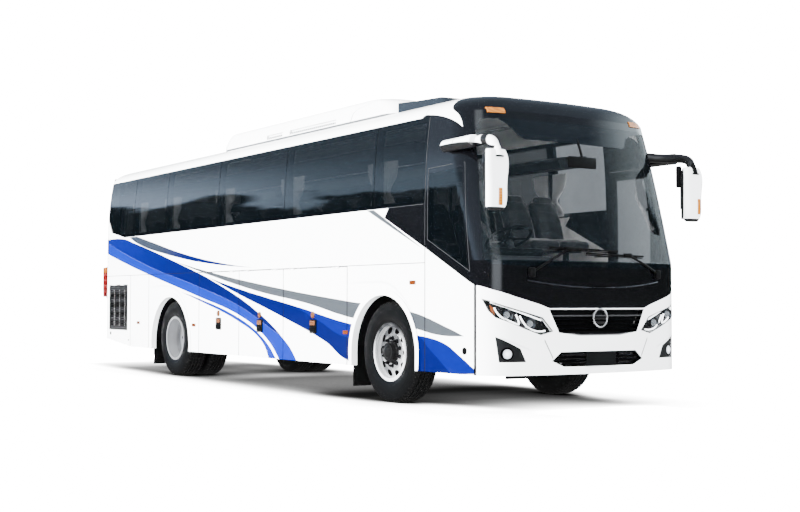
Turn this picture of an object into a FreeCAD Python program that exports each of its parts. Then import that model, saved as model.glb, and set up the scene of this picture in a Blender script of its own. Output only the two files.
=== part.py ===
import FreeCAD
import Part
import math
import os

V = FreeCAD.Vector

# A ten-metre touring coach with right-hand drive, in millimetres.
# X points forward, Y to the coach's left, Z up from the road.
# Lengths are laid out from the front axle and moved to the middle of the coach at the end.

# overall size
HALF_W = 1250.0
NOSE_X = 1855.0
TAIL_X = -8100.0
FRONT_MOST = 1960.0
PLATE_T = 8.0
PIN_BACK = 12.0
SHIFT_X = -(FRONT_MOST + TAIL_X - PIN_BACK) / 2.0

# body shell
WALL = 60.0
GLASS = 10.0
GAP = 7.0
SKIRT_Z = 354.0
NOSE_R = 5000.0
NOSE_CORNER_R = 340.0
TAIL_R = 9000.0
TAIL_CORNER_R = 210.0
WAIST_Z = 1410.0
CANT_Z = 2840.0

# levels of the leaning upper body: height, half width, lean of the nose, lean of the tail
MID_LEVELS = [
    (1410.0, 1250.0, 0.0, 0.0),
    (1970.0, 1249.0, 147.0, 0.0),
    (2420.0, 1231.0, 265.0, 12.0),
    (2840.0, 1185.0, 372.0, 50.0),
]
# levels of the roof, with the share of the wall that is taken off the height inside
TOP_LEVELS = [
    (2840.0, 1185.0, 372.0, 50.0, 0.0),
    (2930.0, 1130.0, 450.0, 100.0, 0.4),
    (3000.0, 990.0, 560.0, 220.0, 0.75),
    (3045.0, 800.0, 780.0, 420.0, 0.95),
    (3075.0, 500.0, 1150.0, 760.0, 1.0),
]

# seams along the side
TAIL_SEAM_X = -7930.0
FLAP_XS = [-4480.0, -3300.0, -2150.0, -720.0]
FLAP_TOP_Z = 1398.0
FLAP_HOLE_Z = 1408.0
NOSE_SEAM_X = 1530.0
BAND_Z0 = 1979.0
BAND_Z1 = 2838.0
BAND_FRONT_X = 730.0
WINDOW_XS = [-6810.0, -5610.0, -3940.0, -2140.0, -200.0]
POST_HALF = 55.0

# panel hinges: the pin lies a little outside the skin and above the panel's edge
PIN_R = 5.0
PIN_OUT = 3.0
PIN_DROP = 5.0
LUG_R = 9.0
LUG_W = 24.0
FLAP_AXIS_Z = FLAP_TOP_Z + PIN_DROP
GRILLE_ROWS = 22
GRILLE_COLUMNS = 3
LAMP_PROUD = 10
WIPER_PROUD = 26
# wipers: pivot, the blade's joint, and the blade from end to end, as (y, z)
WIPERS = [(-800, (-368, 1524), ((-590, 1532), (230, 1508))), (800, (363, 1478), ((590, 1468), (-170, 1482)))]
UNIT_FRONT_X = -230
# mirror head levels: height, depth, half width, corner radius
MIRROR_LEVELS = [(1845, 60, 70, 28), (1880, 96, 96, 40), (2000, 118, 110, 46), (2180, 122, 120, 46),
                 (2330, 112, 120, 44), (2390, 70, 96, 30)]
UNIT_VENTS = [(-3140, -2730), (-2550, -1460)]
LIP_WIDTH = 62
LIP_PROUD = 12

# running gear
REAR_AXLE_X = -5418.0
HUB_Z = 515.0
TYRE_R = 515.0
TYRE_HALF_W = 145.0
TREAD_HALF_W = 122.0
BEAD_R = 289.0
RIM_R = 300.0
WHEEL_Y = 1045.0
TWIN_Y = 715.0
TWIN_FACE_Y = (WHEEL_Y + TWIN_Y) / 2
KINGPIN_Y = 905.0
STUB_R = 55.0
RUN_GAP = 0.4
DISC_T = 11.0
NUT_R = 140.0
FRONT_DISC = (52.0, 84.0)
TWIN_DISC = (60.0, 154.0)
ARCH_FRONT = (-15.0, 500.0, 595.0)
ARCH_REAR = (-5420.0, 444.0, 640.0)
FLAP_FOOT_Z = 130.0

# chassis rails, deck and bays
RAIL_Y = 430.0
RAIL_HALF = 35.0
RAIL_Z0 = 640.0
RAIL_Z1 = 850.0
DECK_Z = 1250.0
DECK_T = 45.0
CAB_FLOOR_Z = 880.0
CAB_FRONT_X = 660.0
BAY_FLOOR_Z = 400.0

# doors
DOOR_X0 = 700.0
DOOR_X1 = 1460.0
DOOR_TOP_X1 = 1335.0
DOOR_Z0 = 366.0
DOOR_Z1 = 2420.0
ARM_POST = (1405.0, 1140.0)
ARM_PIN = (905.0, 1085.0)
ARM_ZS = (560.0, 1128.0)
POST_R = 18.0
STEP_FLOOR_Z = 440.0
SIDE_DOOR = (-7765.0, -7021.0, 595.0, 1265.0)
LID_HALF_W = 880.0
LID_Z0 = 700.0
LID_Z1 = 1600.0


def box(x0, x1, y0, y1, z0, z1):
    return Part.makeBox(x1 - x0, y1 - y0, z1 - z0, V(x0, y0, z0))


def prism_xz(points, y0, y1):
    wire = Part.makePolygon([V(x, y0, z) for x, z in points + points[:1]])
    return Part.Face(wire).extrude(V(0, y1 - y0, 0))


def prism_yz(points, x0, x1):
    wire = Part.makePolygon([V(x0, y, z) for y, z in points + points[:1]])
    return Part.Face(wire).extrude(V(x1 - x0, 0, 0))


def prism_xy(points, z0, z1):
    wire = Part.makePolygon([V(x, y, z0) for x, y in points + points[:1]])
    return Part.Face(wire).extrude(V(0, 0, z1 - z0))


def rod(start, end, radius):
    a = V(*start)
    b = V(*end)
    return Part.makeCylinder(radius, (b - a).Length, a, b - a)


def mirror_y(shape):
    return shape.mirror(V(0, 0, 0), V(0, 1, 0))


def big_solids(shape):
    # leaves out the paper-thin remains of curved cuts
    return Part.makeCompound([solid for solid in shape.Solids if solid.Volume > 2e4])


def both_sides(shape):
    return Part.makeCompound([shape, mirror_y(shape)])


def fuse_all(shapes):
    body = shapes[0]
    for extra in shapes[1:]:
        body = body.fuse(extra)
    return body


def rounded_box(x0, x1, y0, y1, z0, z1, radius, direction):
    body = box(x0, x1, y0, y1, z0, z1)
    edges = []
    for edge in body.Edges:
        run = edge.Vertexes[1].Point - edge.Vertexes[0].Point
        if run.cross(direction).Length < 1e-6:
            edges.append(edge)
    return body.makeFillet(radius, edges)


# body envelope

def plan_wire(z, half_w, nose, tail, inset):
    hw = half_w - inset
    rn = NOSE_R - inset
    rc = NOSE_CORNER_R - inset
    rt = TAIL_R - inset
    rd = TAIL_CORNER_R - inset
    nose_c = nose - NOSE_R
    tail_c = tail + TAIL_R
    cc = hw - rc
    dd = hw - rd
    fx = nose_c + math.sqrt((rn - rc) ** 2 - cc ** 2)
    bx = tail_c - math.sqrt((rt - rd) ** 2 - dd ** 2)
    nose_t = (nose_c + (fx - nose_c) * rn / (rn - rc), cc * rn / (rn - rc))
    tail_t = (tail_c + (bx - tail_c) * rt / (rt - rd), dd * rt / (rt - rd))
    nose_a = math.atan2(nose_t[1] - cc, nose_t[0] - fx)
    tail_a = math.atan2(tail_t[1] - dd, tail_t[0] - bx)
    nm = (nose_a + math.pi / 2) / 2
    tm = (tail_a + math.pi / 2) / 2
    nose_m = (fx + rc * math.cos(nm), cc + rc * math.sin(nm))
    tail_m = (bx + rd * math.cos(tm), dd + rd * math.sin(tm))

    def p(xy, side):
        return V(xy[0], side * xy[1], z)

    edges = [
        Part.Arc(p(nose_t, -1), V(nose_c + rn, 0, z), p(nose_t, 1)).toShape(),
        Part.Arc(p(nose_t, 1), p(nose_m, 1), V(fx, hw, z)).toShape(),
        Part.makeLine(V(fx, hw, z), V(bx, hw, z)),
        Part.Arc(V(bx, hw, z), p(tail_m, 1), p(tail_t, 1)).toShape(),
        Part.Arc(p(tail_t, 1), V(tail_c - rt, 0, z), p(tail_t, -1)).toShape(),
        Part.Arc(p(tail_t, -1), p(tail_m, -1), V(bx, -hw, z)).toShape(),
        Part.makeLine(V(bx, -hw, z), V(fx, -hw, z)),
        Part.Arc(V(fx, -hw, z), p(nose_m, -1), p(nose_t, -1)).toShape(),
    ]
    return Part.Wire(edges)


def envelope(inset):
    bottom = SKIRT_Z if inset == 0 else SKIRT_Z - 150.0
    low = Part.Face(plan_wire(bottom, HALF_W, NOSE_X, TAIL_X, inset)).extrude(V(0, 0, WAIST_Z - bottom))
    mid_wires = [plan_wire(z, w, NOSE_X - n, TAIL_X + t, inset) for z, w, n, t in MID_LEVELS]
    mid = Part.makeLoft(mid_wires, True, False)
    top_wires = []
    for z, w, n, t, share in TOP_LEVELS:
        side = math.sqrt(1.0 - share ** 2) * inset
        wire = plan_wire(z - inset * share, w - side + inset, NOSE_X - n - side + inset,
                         TAIL_X + t + side - inset, inset)
        top_wires.append(wire)
    top = Part.makeLoft(top_wires, True, False)
    body = low.fuse(mid).fuse(top)
    if inset == 0:
        rise = [(-6900, 0), (-6900, SKIRT_Z), (-7930, 458), (-8300, 580), (-8300, 0)]
        body = body.cut(prism_xz(rise, -1400, 1400))
    return body


OUTER = envelope(0.0)
UNDER_GLASS = envelope(GLASS)
INNER = envelope(WALL)
SHELL = OUTER.cut(INNER)
GLAZING = OUTER.cut(UNDER_GLASS)
FRAMING = UNDER_GLASS.cut(INNER)
# the room inside the upright lower walls
LAMP_SKIN = envelope(-LAMP_PROUD).cut(OUTER)
LOW_ROOM = Part.Face(plan_wire(200, HALF_W, NOSE_X, TAIL_X, WALL)).extrude(V(0, 0, 1150))


def side_prism(points, side):
    y0, y1 = (800, 1400) if side > 0 else (-1400, -800)
    return prism_xz(points, y0, y1)


def band_prism(side):
    y0, y1 = (1060, 1400) if side > 0 else (-1400, -1060)
    return prism_xz(BAND, y0, y1)


def side_box(x0, x1, z0, z1, side):
    return side_prism([(x0, z0), (x1, z0), (x1, z1), (x0, z1)], side)


def arch_cutter(arch, side):
    x, z, r = arch
    y = 700 if side > 0 else -1400
    drum = Part.makeCylinder(r, 700, V(x, y, z), V(0, 1, 0))
    return drum.fuse(box(x - r, x + r, y, y + 700, z - 500, z))


def arch_lip(arch, side):
    x, z, r = arch
    outer = r + LIP_WIDTH
    y0, y1 = sorted((side * (HALF_W - 40), side * (HALF_W + LIP_PROUD)))
    drum = Part.makeCylinder(outer, y1 - y0, V(x, y0, z), V(0, 1, 0))
    legs = box(x - outer, x + outer, y0, y1, SKIRT_Z, z)
    above = side_box(x - 900, x + 900, SKIRT_Z, 1600, side)
    return drum.fuse(legs).common(above).cut(arch_cutter(arch, side))


# regions on the outside of the body

BAND = [(-7160, BAND_Z0), (-7690, 2070), (-8050, 2520), (-7985, BAND_Z1), (BAND_FRONT_X, BAND_Z1),
        (BAND_FRONT_X, BAND_Z0)]
MASK = [(-210, BAND_Z0), (725, 1555), (NOSE_SEAM_X, 1174), (NOSE_SEAM_X, 960), (2200, 960), (2200, 2960),
        (1400, 2905), (650, BAND_Z1), (BAND_FRONT_X, BAND_Z1), (BAND_FRONT_X, BAND_Z0)]
BROW = [(1400, 1183), (1237, 1183), (1155, 1141), (968, 1078), (705, 1005), (606, 970)]
CAB_WINDOW = [(790, 2270), (1300, 2290), (1430, 1300), (790, 1610)]
SCREEN = [(1205, 1430), (1160, 1375), (600, 1352), (-600, 1352), (-1160, 1375), (-1205, 1430), (-1165, 2000),
          (-1110, 2640), (-1060, 2745), (-950, 2765), (950, 2765), (1060, 2745), (1110, 2640), (1165, 2000)]
HEADLAMP = [(1216, 1060), (1209, 1046), (1178, 947), (1131, 884), (877, 785), (695, 722), (559, 755), (676, 886),
            (1061, 993)]
GRILLE = [(606, 960), (497, 743), (250, 712), (-250, 712), (-497, 743), (-606, 960)]
LOWER_GRILLE = [(576, 481), (474, 563), (-474, 563), (-576, 481), (-440, 425), (440, 425)]
FOG_POCKET = [(1134, 714), (903, 599), (844, 477), (1107, 477)]


def bumper_region():
    left = [(1400, 200)] + BROW
    right = [(-y, z) for y, z in reversed(left)]
    return prism_yz(left + right, NOSE_SEAM_X, 2200)


def nose_cut(points, x0=NOSE_SEAM_X):
    return prism_yz(points, x0, 2300)


def mirrored(points):
    return [(-y, z) for y, z in points]


def door_hole():
    x0 = DOOR_X0 - GAP
    x1 = DOOR_X1 + GAP
    points = [(x0, DOOR_Z0 - 100), (x1, DOOR_Z0 - 100), (x1, WAIST_Z), (DOOR_TOP_X1 + GAP, DOOR_Z1 + GAP),
              (x0, DOOR_Z1 + GAP)]
    return side_prism(points, 1)


def flap_hole(x0, x1, side):
    return side_box(x0, x1, 200, FLAP_HOLE_Z, side)


def side_door_hole(side):
    x0, x1, z0, z1 = SIDE_DOOR
    return side_box(x0 - GAP, x1 + GAP, z0 - GAP, z1 + 2 * PIN_DROP, side)


def body_side(side):
    area = side_box(TAIL_SEAM_X, NOSE_SEAM_X, 200, BAND_Z1, side)
    wall = SHELL.common(area)
    cutters = [band_prism(side), side_prism(MASK, side), arch_cutter(ARCH_FRONT, side),
               arch_cutter(ARCH_REAR, side), side_door_hole(side)]
    for x0, x1 in zip(FLAP_XS[:-1], FLAP_XS[1:]):
        cutters.append(flap_hole(x0, x1, side))
    if side > 0:
        cutters.append(door_hole())
    for cutter in cutters:
        wall = wall.cut(cutter)
    for arch in (ARCH_FRONT, ARCH_REAR):
        wall = wall.fuse(arch_lip(arch, side))
    return big_solids(wall)


def window_pillars(side):
    frame = FRAMING.common(band_prism(side))
    if side > 0:
        frame = frame.cut(door_hole())
    xs = [-7560.0] + WINDOW_XS + [BAND_FRONT_X]
    for x0, x1 in zip(xs[:-1], xs[1:]):
        frame = frame.cut(side_box(x0 + POST_HALF, x1 - POST_HALF, BAND_Z0 + 45, BAND_Z1 - 45, side))
    return frame


def side_glass(side):
    band = GLAZING.common(band_prism(side))
    if side > 0:
        band = band.cut(door_hole())
    for x in WINDOW_XS:
        band = band.cut(side_box(x - 4, x + 4, BAND_Z0 - 10, BAND_Z1 + 10, side))
    if side < 0:
        band = Part.makeCompound(band.Solids + GLAZING.common(side_prism(CAB_WINDOW, side)).Solids)
    return band


def front_bumper():
    shell = SHELL.common(bumper_region())
    for points in (HEADLAMP, FOG_POCKET):
        shell = shell.cut(nose_cut(points)).cut(nose_cut(mirrored(points)))
    return shell.cut(nose_cut(GRILLE)).cut(nose_cut(LOWER_GRILLE))


def front_mask():
    shell = SHELL.common(prism_xz(MASK, -1400, 1400))
    shell = shell.cut(bumper_region()).cut(nose_cut(SCREEN, 1100))
    shell = shell.cut(side_prism(CAB_WINDOW, -1)).cut(door_hole())
    return shell


def windshield():
    return GLAZING.common(nose_cut(SCREEN, 1100))


def roof_shell():
    shell = SHELL.common(box(-9000, 3000, -1400, 1400, BAND_Z1, 3300))
    return shell.cut(prism_xz(MASK, -1400, 1400))


def roof_unit():
    lower = Part.Face(round_rect(-4500, UNIT_FRONT_X, 960, 2960, 260)).extrude(V(0, 0, 110))
    wires = [round_rect(-4500, UNIT_FRONT_X, 960, 3070, 260), round_rect(-4430, -330, 930, 3170, 240),
             round_rect(-4280, -760, 860, 3235, 200), round_rect(-4080, -1000, 700, 3260, 160)]
    upper = Part.makeLoft(wires, True, False)
    vents = [side_box(x0, x1, 3050, 3095, -1) for x0, x1 in UNIT_VENTS]
    room = Part.makeCompound(vents + [mirror_y(vent) for vent in vents])
    core = box(-4600, 100, -925, 925, 2900, 3400)
    return lower.fuse(upper).cut(OUTER).cut(room.cut(core))


def round_rect(x0, x1, half, z, r):
    hw = half

    def arc(cx, cy, a0):
        pts = []
        for k in range(3):
            a = math.radians(a0 + 45 * k)
            pts.append(V(cx + r * math.cos(a), cy + r * math.sin(a), z))
        return Part.Arc(*pts).toShape()

    corners = [(x1 - r, hw - r, 0), (x0 + r, hw - r, 90), (x0 + r, r - hw, 180), (x1 - r, r - hw, 270)]
    arcs = [arc(*c) for c in corners]
    edges = []
    for k in range(4):
        edges.append(arcs[k])
        edges.append(Part.makeLine(arcs[k].Vertexes[-1].Point, arcs[(k + 1) % 4].Vertexes[0].Point))
    return Part.Wire(edges)


def roof_fairing():
    side_view = [(UNIT_FRONT_X + 8, 2950), (720, 2950), (720, 3050), (560, 3078), (100, 3098), (UNIT_FRONT_X + 8, 3118)]
    plan = Part.Face(round_rect(UNIT_FRONT_X - 300, 720, 930, 2940, 150)).extrude(V(0, 0, 300))
    return prism_xz(side_view, -1000, 1000).common(plan).cut(OUTER)


def tail_regions():
    corner = [(985, 930), (1400, 880), (1400, 1400), (930, 1420), (930, 1180)]
    return [prism_yz(corner, -8300, -7945), prism_yz(mirrored(corner), -8300, -7945)]


def rear_window_cut():
    return prism_yz([(-930, 1960), (930, 1960), (880, 2640), (-880, 2640)], -8300, -7900)


def lid_cut(extra):
    half = LID_HALF_W + extra
    return box(-8300, -7900, -half, half, LID_Z0 - extra, LID_Z1 + extra + extra / 2)


def rear_panel():
    shell = SHELL.common(box(-8300, TAIL_SEAM_X, -1400, 1400, 640, BAND_Z1))
    for side in (-1, 1):
        shell = shell.cut(band_prism(side))
    for region in tail_regions():
        shell = shell.cut(region)
    return shell.cut(rear_window_cut()).cut(lid_cut(GAP))


def rear_bumper():
    return SHELL.common(box(-8300, TAIL_SEAM_X, -1400, 1400, 200, 640))


def tail_lamps():
    lamps = [SHELL.common(region) for region in tail_regions()]
    for side in (-1, 1):
        y0, y1 = sorted((side * 980, side * 1250))
        lamps.append(LAMP_SKIN.common(box(-8200, -7960, y0, y1, 2770, 2830)))
    return Part.makeCompound(lamps)


def headlamps():
    lamp = SHELL.common(nose_cut(HEADLAMP))
    return both_sides(lamp)


def fog_lamps():
    pocket = UNDER_GLASS.cut(INNER).common(nose_cut(FOG_POCKET))
    pocket = pocket.cut(envelope(30.0).common(box(1000, 1650, 0, 1300, 300, 800)))
    lamp = rod((1640, 1040, 552), (1722, 1040, 552), 48)
    return both_sides(pocket.fuse(lamp))


def grille_frame(points, margin):
    ring = SHELL.common(nose_cut(points))
    ys = [y for y, z in points]
    zs = [z for y, z in points]
    cy = sum(ys) / len(ys)
    cz = sum(zs) / len(zs)
    span_y = max(ys) - min(ys)
    span_z = max(zs) - min(zs)
    inner = [(cy + (y - cy) * (1 - 2 * margin / span_y), cz + (z - cz) * (1 - 2 * margin / span_z))
             for y, z in points]
    return ring.cut(nose_cut(inner)), inner


def front_grille():
    pieces = []
    for points, count in ((GRILLE, 4), (LOWER_GRILLE, 2)):
        frame, inner = grille_frame(points, 16)
        z0 = min(z for y, z in inner)
        z1 = max(z for y, z in inner)
        step = (z1 - z0) / (count + 1)
        for k in range(count):
            z = z0 + step * (k + 1)
            bar = SHELL.common(nose_cut(points)).common(box(1100, 2300, -700, 700, z - 9, z + 9))
            frame = frame.fuse(bar)
        pieces.append(frame)
    return Part.makeCompound(pieces)


# chassis and running gear

def chassis_frame():
    rail = box(-7850, 1700, RAIL_Y - RAIL_HALF, RAIL_Y + RAIL_HALF, RAIL_Z0, RAIL_Z1)
    rail = rail.cut(box(-7900, 1750, RAIL_Y - RAIL_HALF, RAIL_Y + RAIL_HALF - 10, RAIL_Z0 + 12, RAIL_Z1 - 12))
    frame = rail.fuse(mirror_y(rail))
    half = RAIL_Y + RAIL_HALF
    for x in (1600, 700, -800, -2150, -3300, -4400, -6300, -7700):
        frame = frame.fuse(box(x - 35, x + 35, -half, half, RAIL_Z0 + 40, RAIL_Z1 - 40))
    for x in (-760, -2150, -3300, -4440, -6700, 1560):
        for side in (-1, 1):
            y0, y1 = sorted((side * RAIL_Y, side * (HALF_W - WALL)))
            if x < 1500:
                frame = frame.fuse(box(x - 25, x + 25, y0, y1, 780, 840))
    for side in (-1, 1):
        y = side * RAIL_Y
        hanger = box(1500, 1640, y - 30, y + 30, 560, 700)
        frame = frame.fuse(hanger)
        beam = box(1600, 1700, y - 30, y + 30, 640, 700)
        frame = frame.fuse(beam)
    front_beam = LOW_ROOM.common(box(1700, 1800, -900, 900, 640, 700))
    frame = frame.fuse(box(1650, 1710, -half, half, 640, 700)).fuse(front_beam)
    rear_beam = LOW_ROOM.common(box(-8060, -7990, -1000, 1000, 640, 700))
    for side in (-1, 1):
        y = side * RAIL_Y
        frame = frame.fuse(box(-8000, -7840, y - 35, y + 35, RAIL_Z0, RAIL_Z0 + 60))
    return frame.fuse(rear_beam)


def floor_deck():
    side_y = HALF_W
    well_y = RAIL_Y + RAIL_HALF + 10
    riser = (CAB_FLOOR_Z - STEP_FLOOR_Z) / 3
    deck = box(-7990, CAB_FRONT_X, -side_y, side_y, DECK_Z - DECK_T, DECK_Z)
    cab = box(CAB_FRONT_X, 1500, -side_y, well_y + 30, CAB_FLOOR_Z - 30, CAB_FLOOR_Z)
    wall = box(CAB_FRONT_X - 30, CAB_FRONT_X, -side_y, side_y, RAIL_Z1, DECK_Z - DECK_T)
    left_wall = box(CAB_FRONT_X - 30, CAB_FRONT_X, well_y, side_y, STEP_FLOOR_Z - 40, RAIL_Z1)
    well = box(CAB_FRONT_X - 30, 1460, well_y, side_y, STEP_FLOOR_Z - 40, STEP_FLOOR_Z)
    inner = box(CAB_FRONT_X - 30, 1460, well_y, well_y + 30, STEP_FLOOR_Z, CAB_FLOOR_Z - 30)
    pieces = [deck, cab, wall, left_wall, well, inner]
    for k in range(2):
        z = STEP_FLOOR_Z + riser * k
        pieces.append(box(CAB_FRONT_X, 1440, well_y + 30, 960 - 220 * k, z, z + riser))
    rise = (DECK_Z - CAB_FLOOR_Z) / 3
    for k in range(2):
        z = CAB_FLOOR_Z + rise * k
        pieces.append(box(CAB_FRONT_X, CAB_FRONT_X + 480 - 240 * k, -260, 300, z, z + rise))
    pieces.append(door_post_brackets()[0])
    return fuse_all(pieces).common(LOW_ROOM)


CHASSIS = chassis_frame()


def towing_lugs():
    plate = box(1560, 1640, RAIL_Y - 12, RAIL_Y + 12, 370, 560)
    lug = box(1560, 1745, RAIL_Y - 45, RAIL_Y + 45, 370, 394)
    eye = Part.makeCylinder(25, 60, V(1695, RAIL_Y, 350), V(0, 0, 1))
    return both_sides(plate.fuse(lug).cut(eye))


def luggage_bays():
    half = HALF_W - WALL
    bays = box(FLAP_XS[0] + 20, FLAP_XS[-1] - 20, -half, half, BAY_FLOOR_Z - 30, BAY_FLOOR_Z)
    for x in FLAP_XS:
        bays = bays.fuse(box(x - 15, x + 15, -half, half, BAY_FLOOR_Z - 30, DECK_Z - DECK_T))
    for y in (RAIL_Y, -RAIL_Y):
        bays = bays.cut(box(-8000, 2000, y - RAIL_HALF, y + RAIL_HALF, RAIL_Z0, RAIL_Z1))
    return bays.cut(CHASSIS)


def arch_liners():
    pieces = []
    y1 = HALF_W - WALL
    for arch, y0, back in ((ARCH_FRONT, 510, 665), (ARCH_REAR, 505, 715)):
        x, z, r = arch
        drum = Part.makeCylinder(r + 45, y1 - y0, V(x, y0, z), V(0, 1, 0))
        space = Part.makeCylinder(r + 25, y1 - y0 - 20, V(x, y0 + 20, z), V(0, 1, 0))
        shell = drum.cut(space).common(box(x - 900, x + 900, y0, y1, z + 60, DECK_Z - DECK_T))
        shell = shell.cut(box(x - 110, x + 110, y0 - 10, y0 + 30, z, HUB_Z + 130))
        flap = box(x - back - 10, x - back, 880, y1, FLAP_FOOT_Z, z + 250)
        flap = flap.cut(Part.makeCylinder(r + 25, 1300, V(x, 0, z), V(0, 1, 0)))
        pieces.append(shell.fuse(flap))
    return both_sides(Part.makeCompound(pieces))


def front_axle():
    wire = [(-KINGPIN_Y, 470), (-620, 400), (620, 400), (KINGPIN_Y, 470), (KINGPIN_Y, 560), (600, 490), (-600, 490),
            (-KINGPIN_Y, 560)]
    beam = prism_yz(wire, -45, 45)
    for side in (-1, 1):
        y = side * KINGPIN_Y
        beam = beam.fuse(Part.makeCylinder(45, 150, V(0, y, 440), V(0, 0, 1)))
    for side in (-1, 1):
        y = side * KINGPIN_Y
        beam = beam.cut(Part.makeCylinder(25 + RUN_GAP, 400, V(0, y, 300), V(0, 0, 1)))
        pad = box(-110, 110, side * RAIL_Y - 60, side * RAIL_Y + 60, 480, 505)
        beam = beam.fuse(pad)
    return beam


def knuckle(side):
    y = side * KINGPIN_Y
    pin = Part.makeCylinder(25, 240, V(0, y, 395), V(0, 0, 1))
    fork = []
    for z0 in (600, 390):
        y0, y1 = sorted((y - side * 35, y + side * 85))
        fork.append(box(-40, 40, y0, y1, z0, z0 + 40))
    y0, y1 = sorted((y + side * 55, y + side * 85))
    plate = box(-60, 60, y0, y1, 390, 640)
    disc = Part.makeCylinder(190, 34, V(0, y + side * 85, HUB_Z), V(0, side, 0))
    stub = Part.makeCylinder(STUB_R, 150, V(0, y + side * 80, HUB_Z), V(0, side, 0))
    return fuse_all([pin] + fork + [plate, disc, stub])


def rear_axle():
    tube = Part.makeCylinder(75, 1240, V(REAR_AXLE_X, -620, HUB_Z), V(0, 1, 0))
    stub = Part.makeCylinder(STUB_R, 2 * TWIN_FACE_Y + 10, V(REAR_AXLE_X, -TWIN_FACE_Y - 5, HUB_Z), V(0, 1, 0))
    bowl = Part.makeSphere(205, V(REAR_AXLE_X, 0, HUB_Z))
    nose = Part.makeCylinder(80, 330, V(REAR_AXLE_X, 0, HUB_Z), V(-1, 0, 0))
    axle = fuse_all([tube, stub, bowl, nose])
    for side in (-1, 1):
        axle = axle.fuse(Part.makeCylinder(195, 200, V(REAR_AXLE_X, side * 600, HUB_Z), V(0, side, 0)))
    for side in (-1, 1):
        y = side * RAIL_Y
        axle = axle.fuse(box(REAR_AXLE_X - 300, REAR_AXLE_X + 300, y - 45, y + 45, HUB_Z - 115, HUB_Z - 75))
        axle = axle.fuse(box(REAR_AXLE_X - 60, REAR_AXLE_X + 60, y - 45, y + 45, HUB_Z - 115, HUB_Z + 60))
    return axle


def suspension():
    bags = []
    for side in (-1, 1):
        y = side * RAIL_Y
        bags.append(Part.makeCylinder(90, RAIL_Z0 - 505, V(0, y, 505), V(0, 0, 1)))
        for x in (REAR_AXLE_X - 230, REAR_AXLE_X + 230):
            bags.append(Part.makeCylinder(72, RAIL_Z0 - HUB_Z + 75, V(x, y, HUB_Z - 75), V(0, 0, 1)))
    return Part.makeCompound(bags)


def driveline():
    block = rounded_box(-7780, -6800, -330, 330, 480, 1130, 60, V(1, 0, 0))
    gearbox = rod((-6810, 0, 640), (-6180, 0, 600), 190)
    shaft = rod((-6200, 0, 590), (REAR_AXLE_X - 330, 0, HUB_Z), 45)
    pipe = rod((-7300, 330, 560), (-7300, 700, 520), 55)
    silencer = rod((-7650, 760, 500), (-6950, 760, 500), 120)
    tail = rod((-7950, 760, 470), (-7640, 760, 490), 45)
    line = fuse_all([block, gearbox, shaft, pipe, silencer, tail])
    return line.cut(CHASSIS).cut(rear_axle())


def spun(profile, y_mid):
    wire = Part.makePolygon([V(0, y_mid + y, r) for r, y in profile + profile[:1]])
    body = Part.Face(wire).revolve(V(0, 0, 0), V(0, 1, 0), 360)
    return body


def tyre(x, y, faces):
    half = TYRE_HALF_W
    if faces == 6:
        profile = [(BEAD_R, -125), (TYRE_R - 45, -half), (TYRE_R, -TREAD_HALF_W), (TYRE_R, TREAD_HALF_W),
                   (TYRE_R - 45, half), (BEAD_R, 125)]
    else:
        profile = [(BEAD_R, -125), (TYRE_R, -half + 8), (TYRE_R, half - 8), (BEAD_R, 125)]
    return spun(profile, y).translated(V(x, 0, HUB_Z))


def rim(x, y, out, edge, face, hub):
    # edge and face are the disc's offsets outwards from the rim's middle, at the barrel and at the nuts
    barrel = [(BEAD_R, -126), (BEAD_R, 126), (272, 112), (262, 0), (272, -112)]
    wheel = spun(barrel, y)
    for end in (-1, 1):
        flange = [(RIM_R, end * 126.5), (RIM_R, end * 135), (270, end * 135), (270, end * 111), (BEAD_R, end * 111),
                  (BEAD_R, end * 126.5)]
        wheel = wheel.fuse(spun(flange, y))
    t = DISC_T
    bore = STUB_R + RUN_GAP
    disc = [(271, out * edge), (271, out * (edge + t)), (190, out * (face + t)), (bore, out * (face + t)),
            (bore, out * face), (190, out * face)]
    wheel = wheel.fuse(spun(disc, y))
    slope_r = 226
    hole_y = edge + (face - edge) * (266 - slope_r) / (266 - 190)
    for k in range(10):
        a = math.radians(36 * k)
        start = V(slope_r * math.cos(a), y + out * (hole_y - 60), slope_r * math.sin(a))
        wheel = wheel.cut(Part.makeCylinder(25, 130, start, V(0, out, 0)))
    if hub:
        for k in range(10):
            a = math.radians(36 * k + 18)
            start = V(NUT_R * math.cos(a), y + out * (face + t), NUT_R * math.sin(a))
            wheel = wheel.fuse(Part.makeCylinder(15, 28, start, V(0, out, 0)))
        wheel = wheel.fuse(Part.makeCylinder(92, hub, V(0, y + out * (face + t), 0), V(0, out, 0)))
    return wheel.translated(V(x, 0, HUB_Z))


# moving panels

def hinge_spans(x0, x1):
    return [(x0 + 150, x0 + 270), (x1 - 270, x1 - 150)]


def hinge_leaf(a, b, out, z, reach):
    # a pin along X with the leaf that carries the panel below it
    pin = Part.makeCylinder(PIN_R, b - a, V(a, out, z), V(1, 0, 0))
    return pin.fuse(box(a + 32, b - 32, out - PIN_OUT - reach, out + 4, z - 16, z))


def hinge_lugs(a, b, out, z, reach):
    lugs = []
    for x in (a, b - LUG_W):
        lug = Part.makeCylinder(LUG_R, LUG_W, V(x, out, z), V(1, 0, 0))
        lug = lug.fuse(box(x, x + LUG_W, out - PIN_OUT - reach, out + 2, z, z + 14))
        lugs.append(lug.cut(Part.makeCylinder(PIN_R + RUN_GAP, 60, V(x - 20, out, z), V(1, 0, 0))))
    return lugs


def hinge_notch(a, b, out, z):
    cuts = []
    for x in (a - 6, b - LUG_W - 6):
        cuts.append(Part.makeCylinder(LUG_R + 6, LUG_W + 12, V(x, out, z), V(1, 0, 0)))
    return cuts


def on_side(shape, side):
    return shape if side > 0 else mirror_y(shape)


def on_tail(shape):
    turned = shape.copy()
    turned.rotate(V(0, 0, 0), V(0, 0, 1), 90)
    return turned


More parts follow.
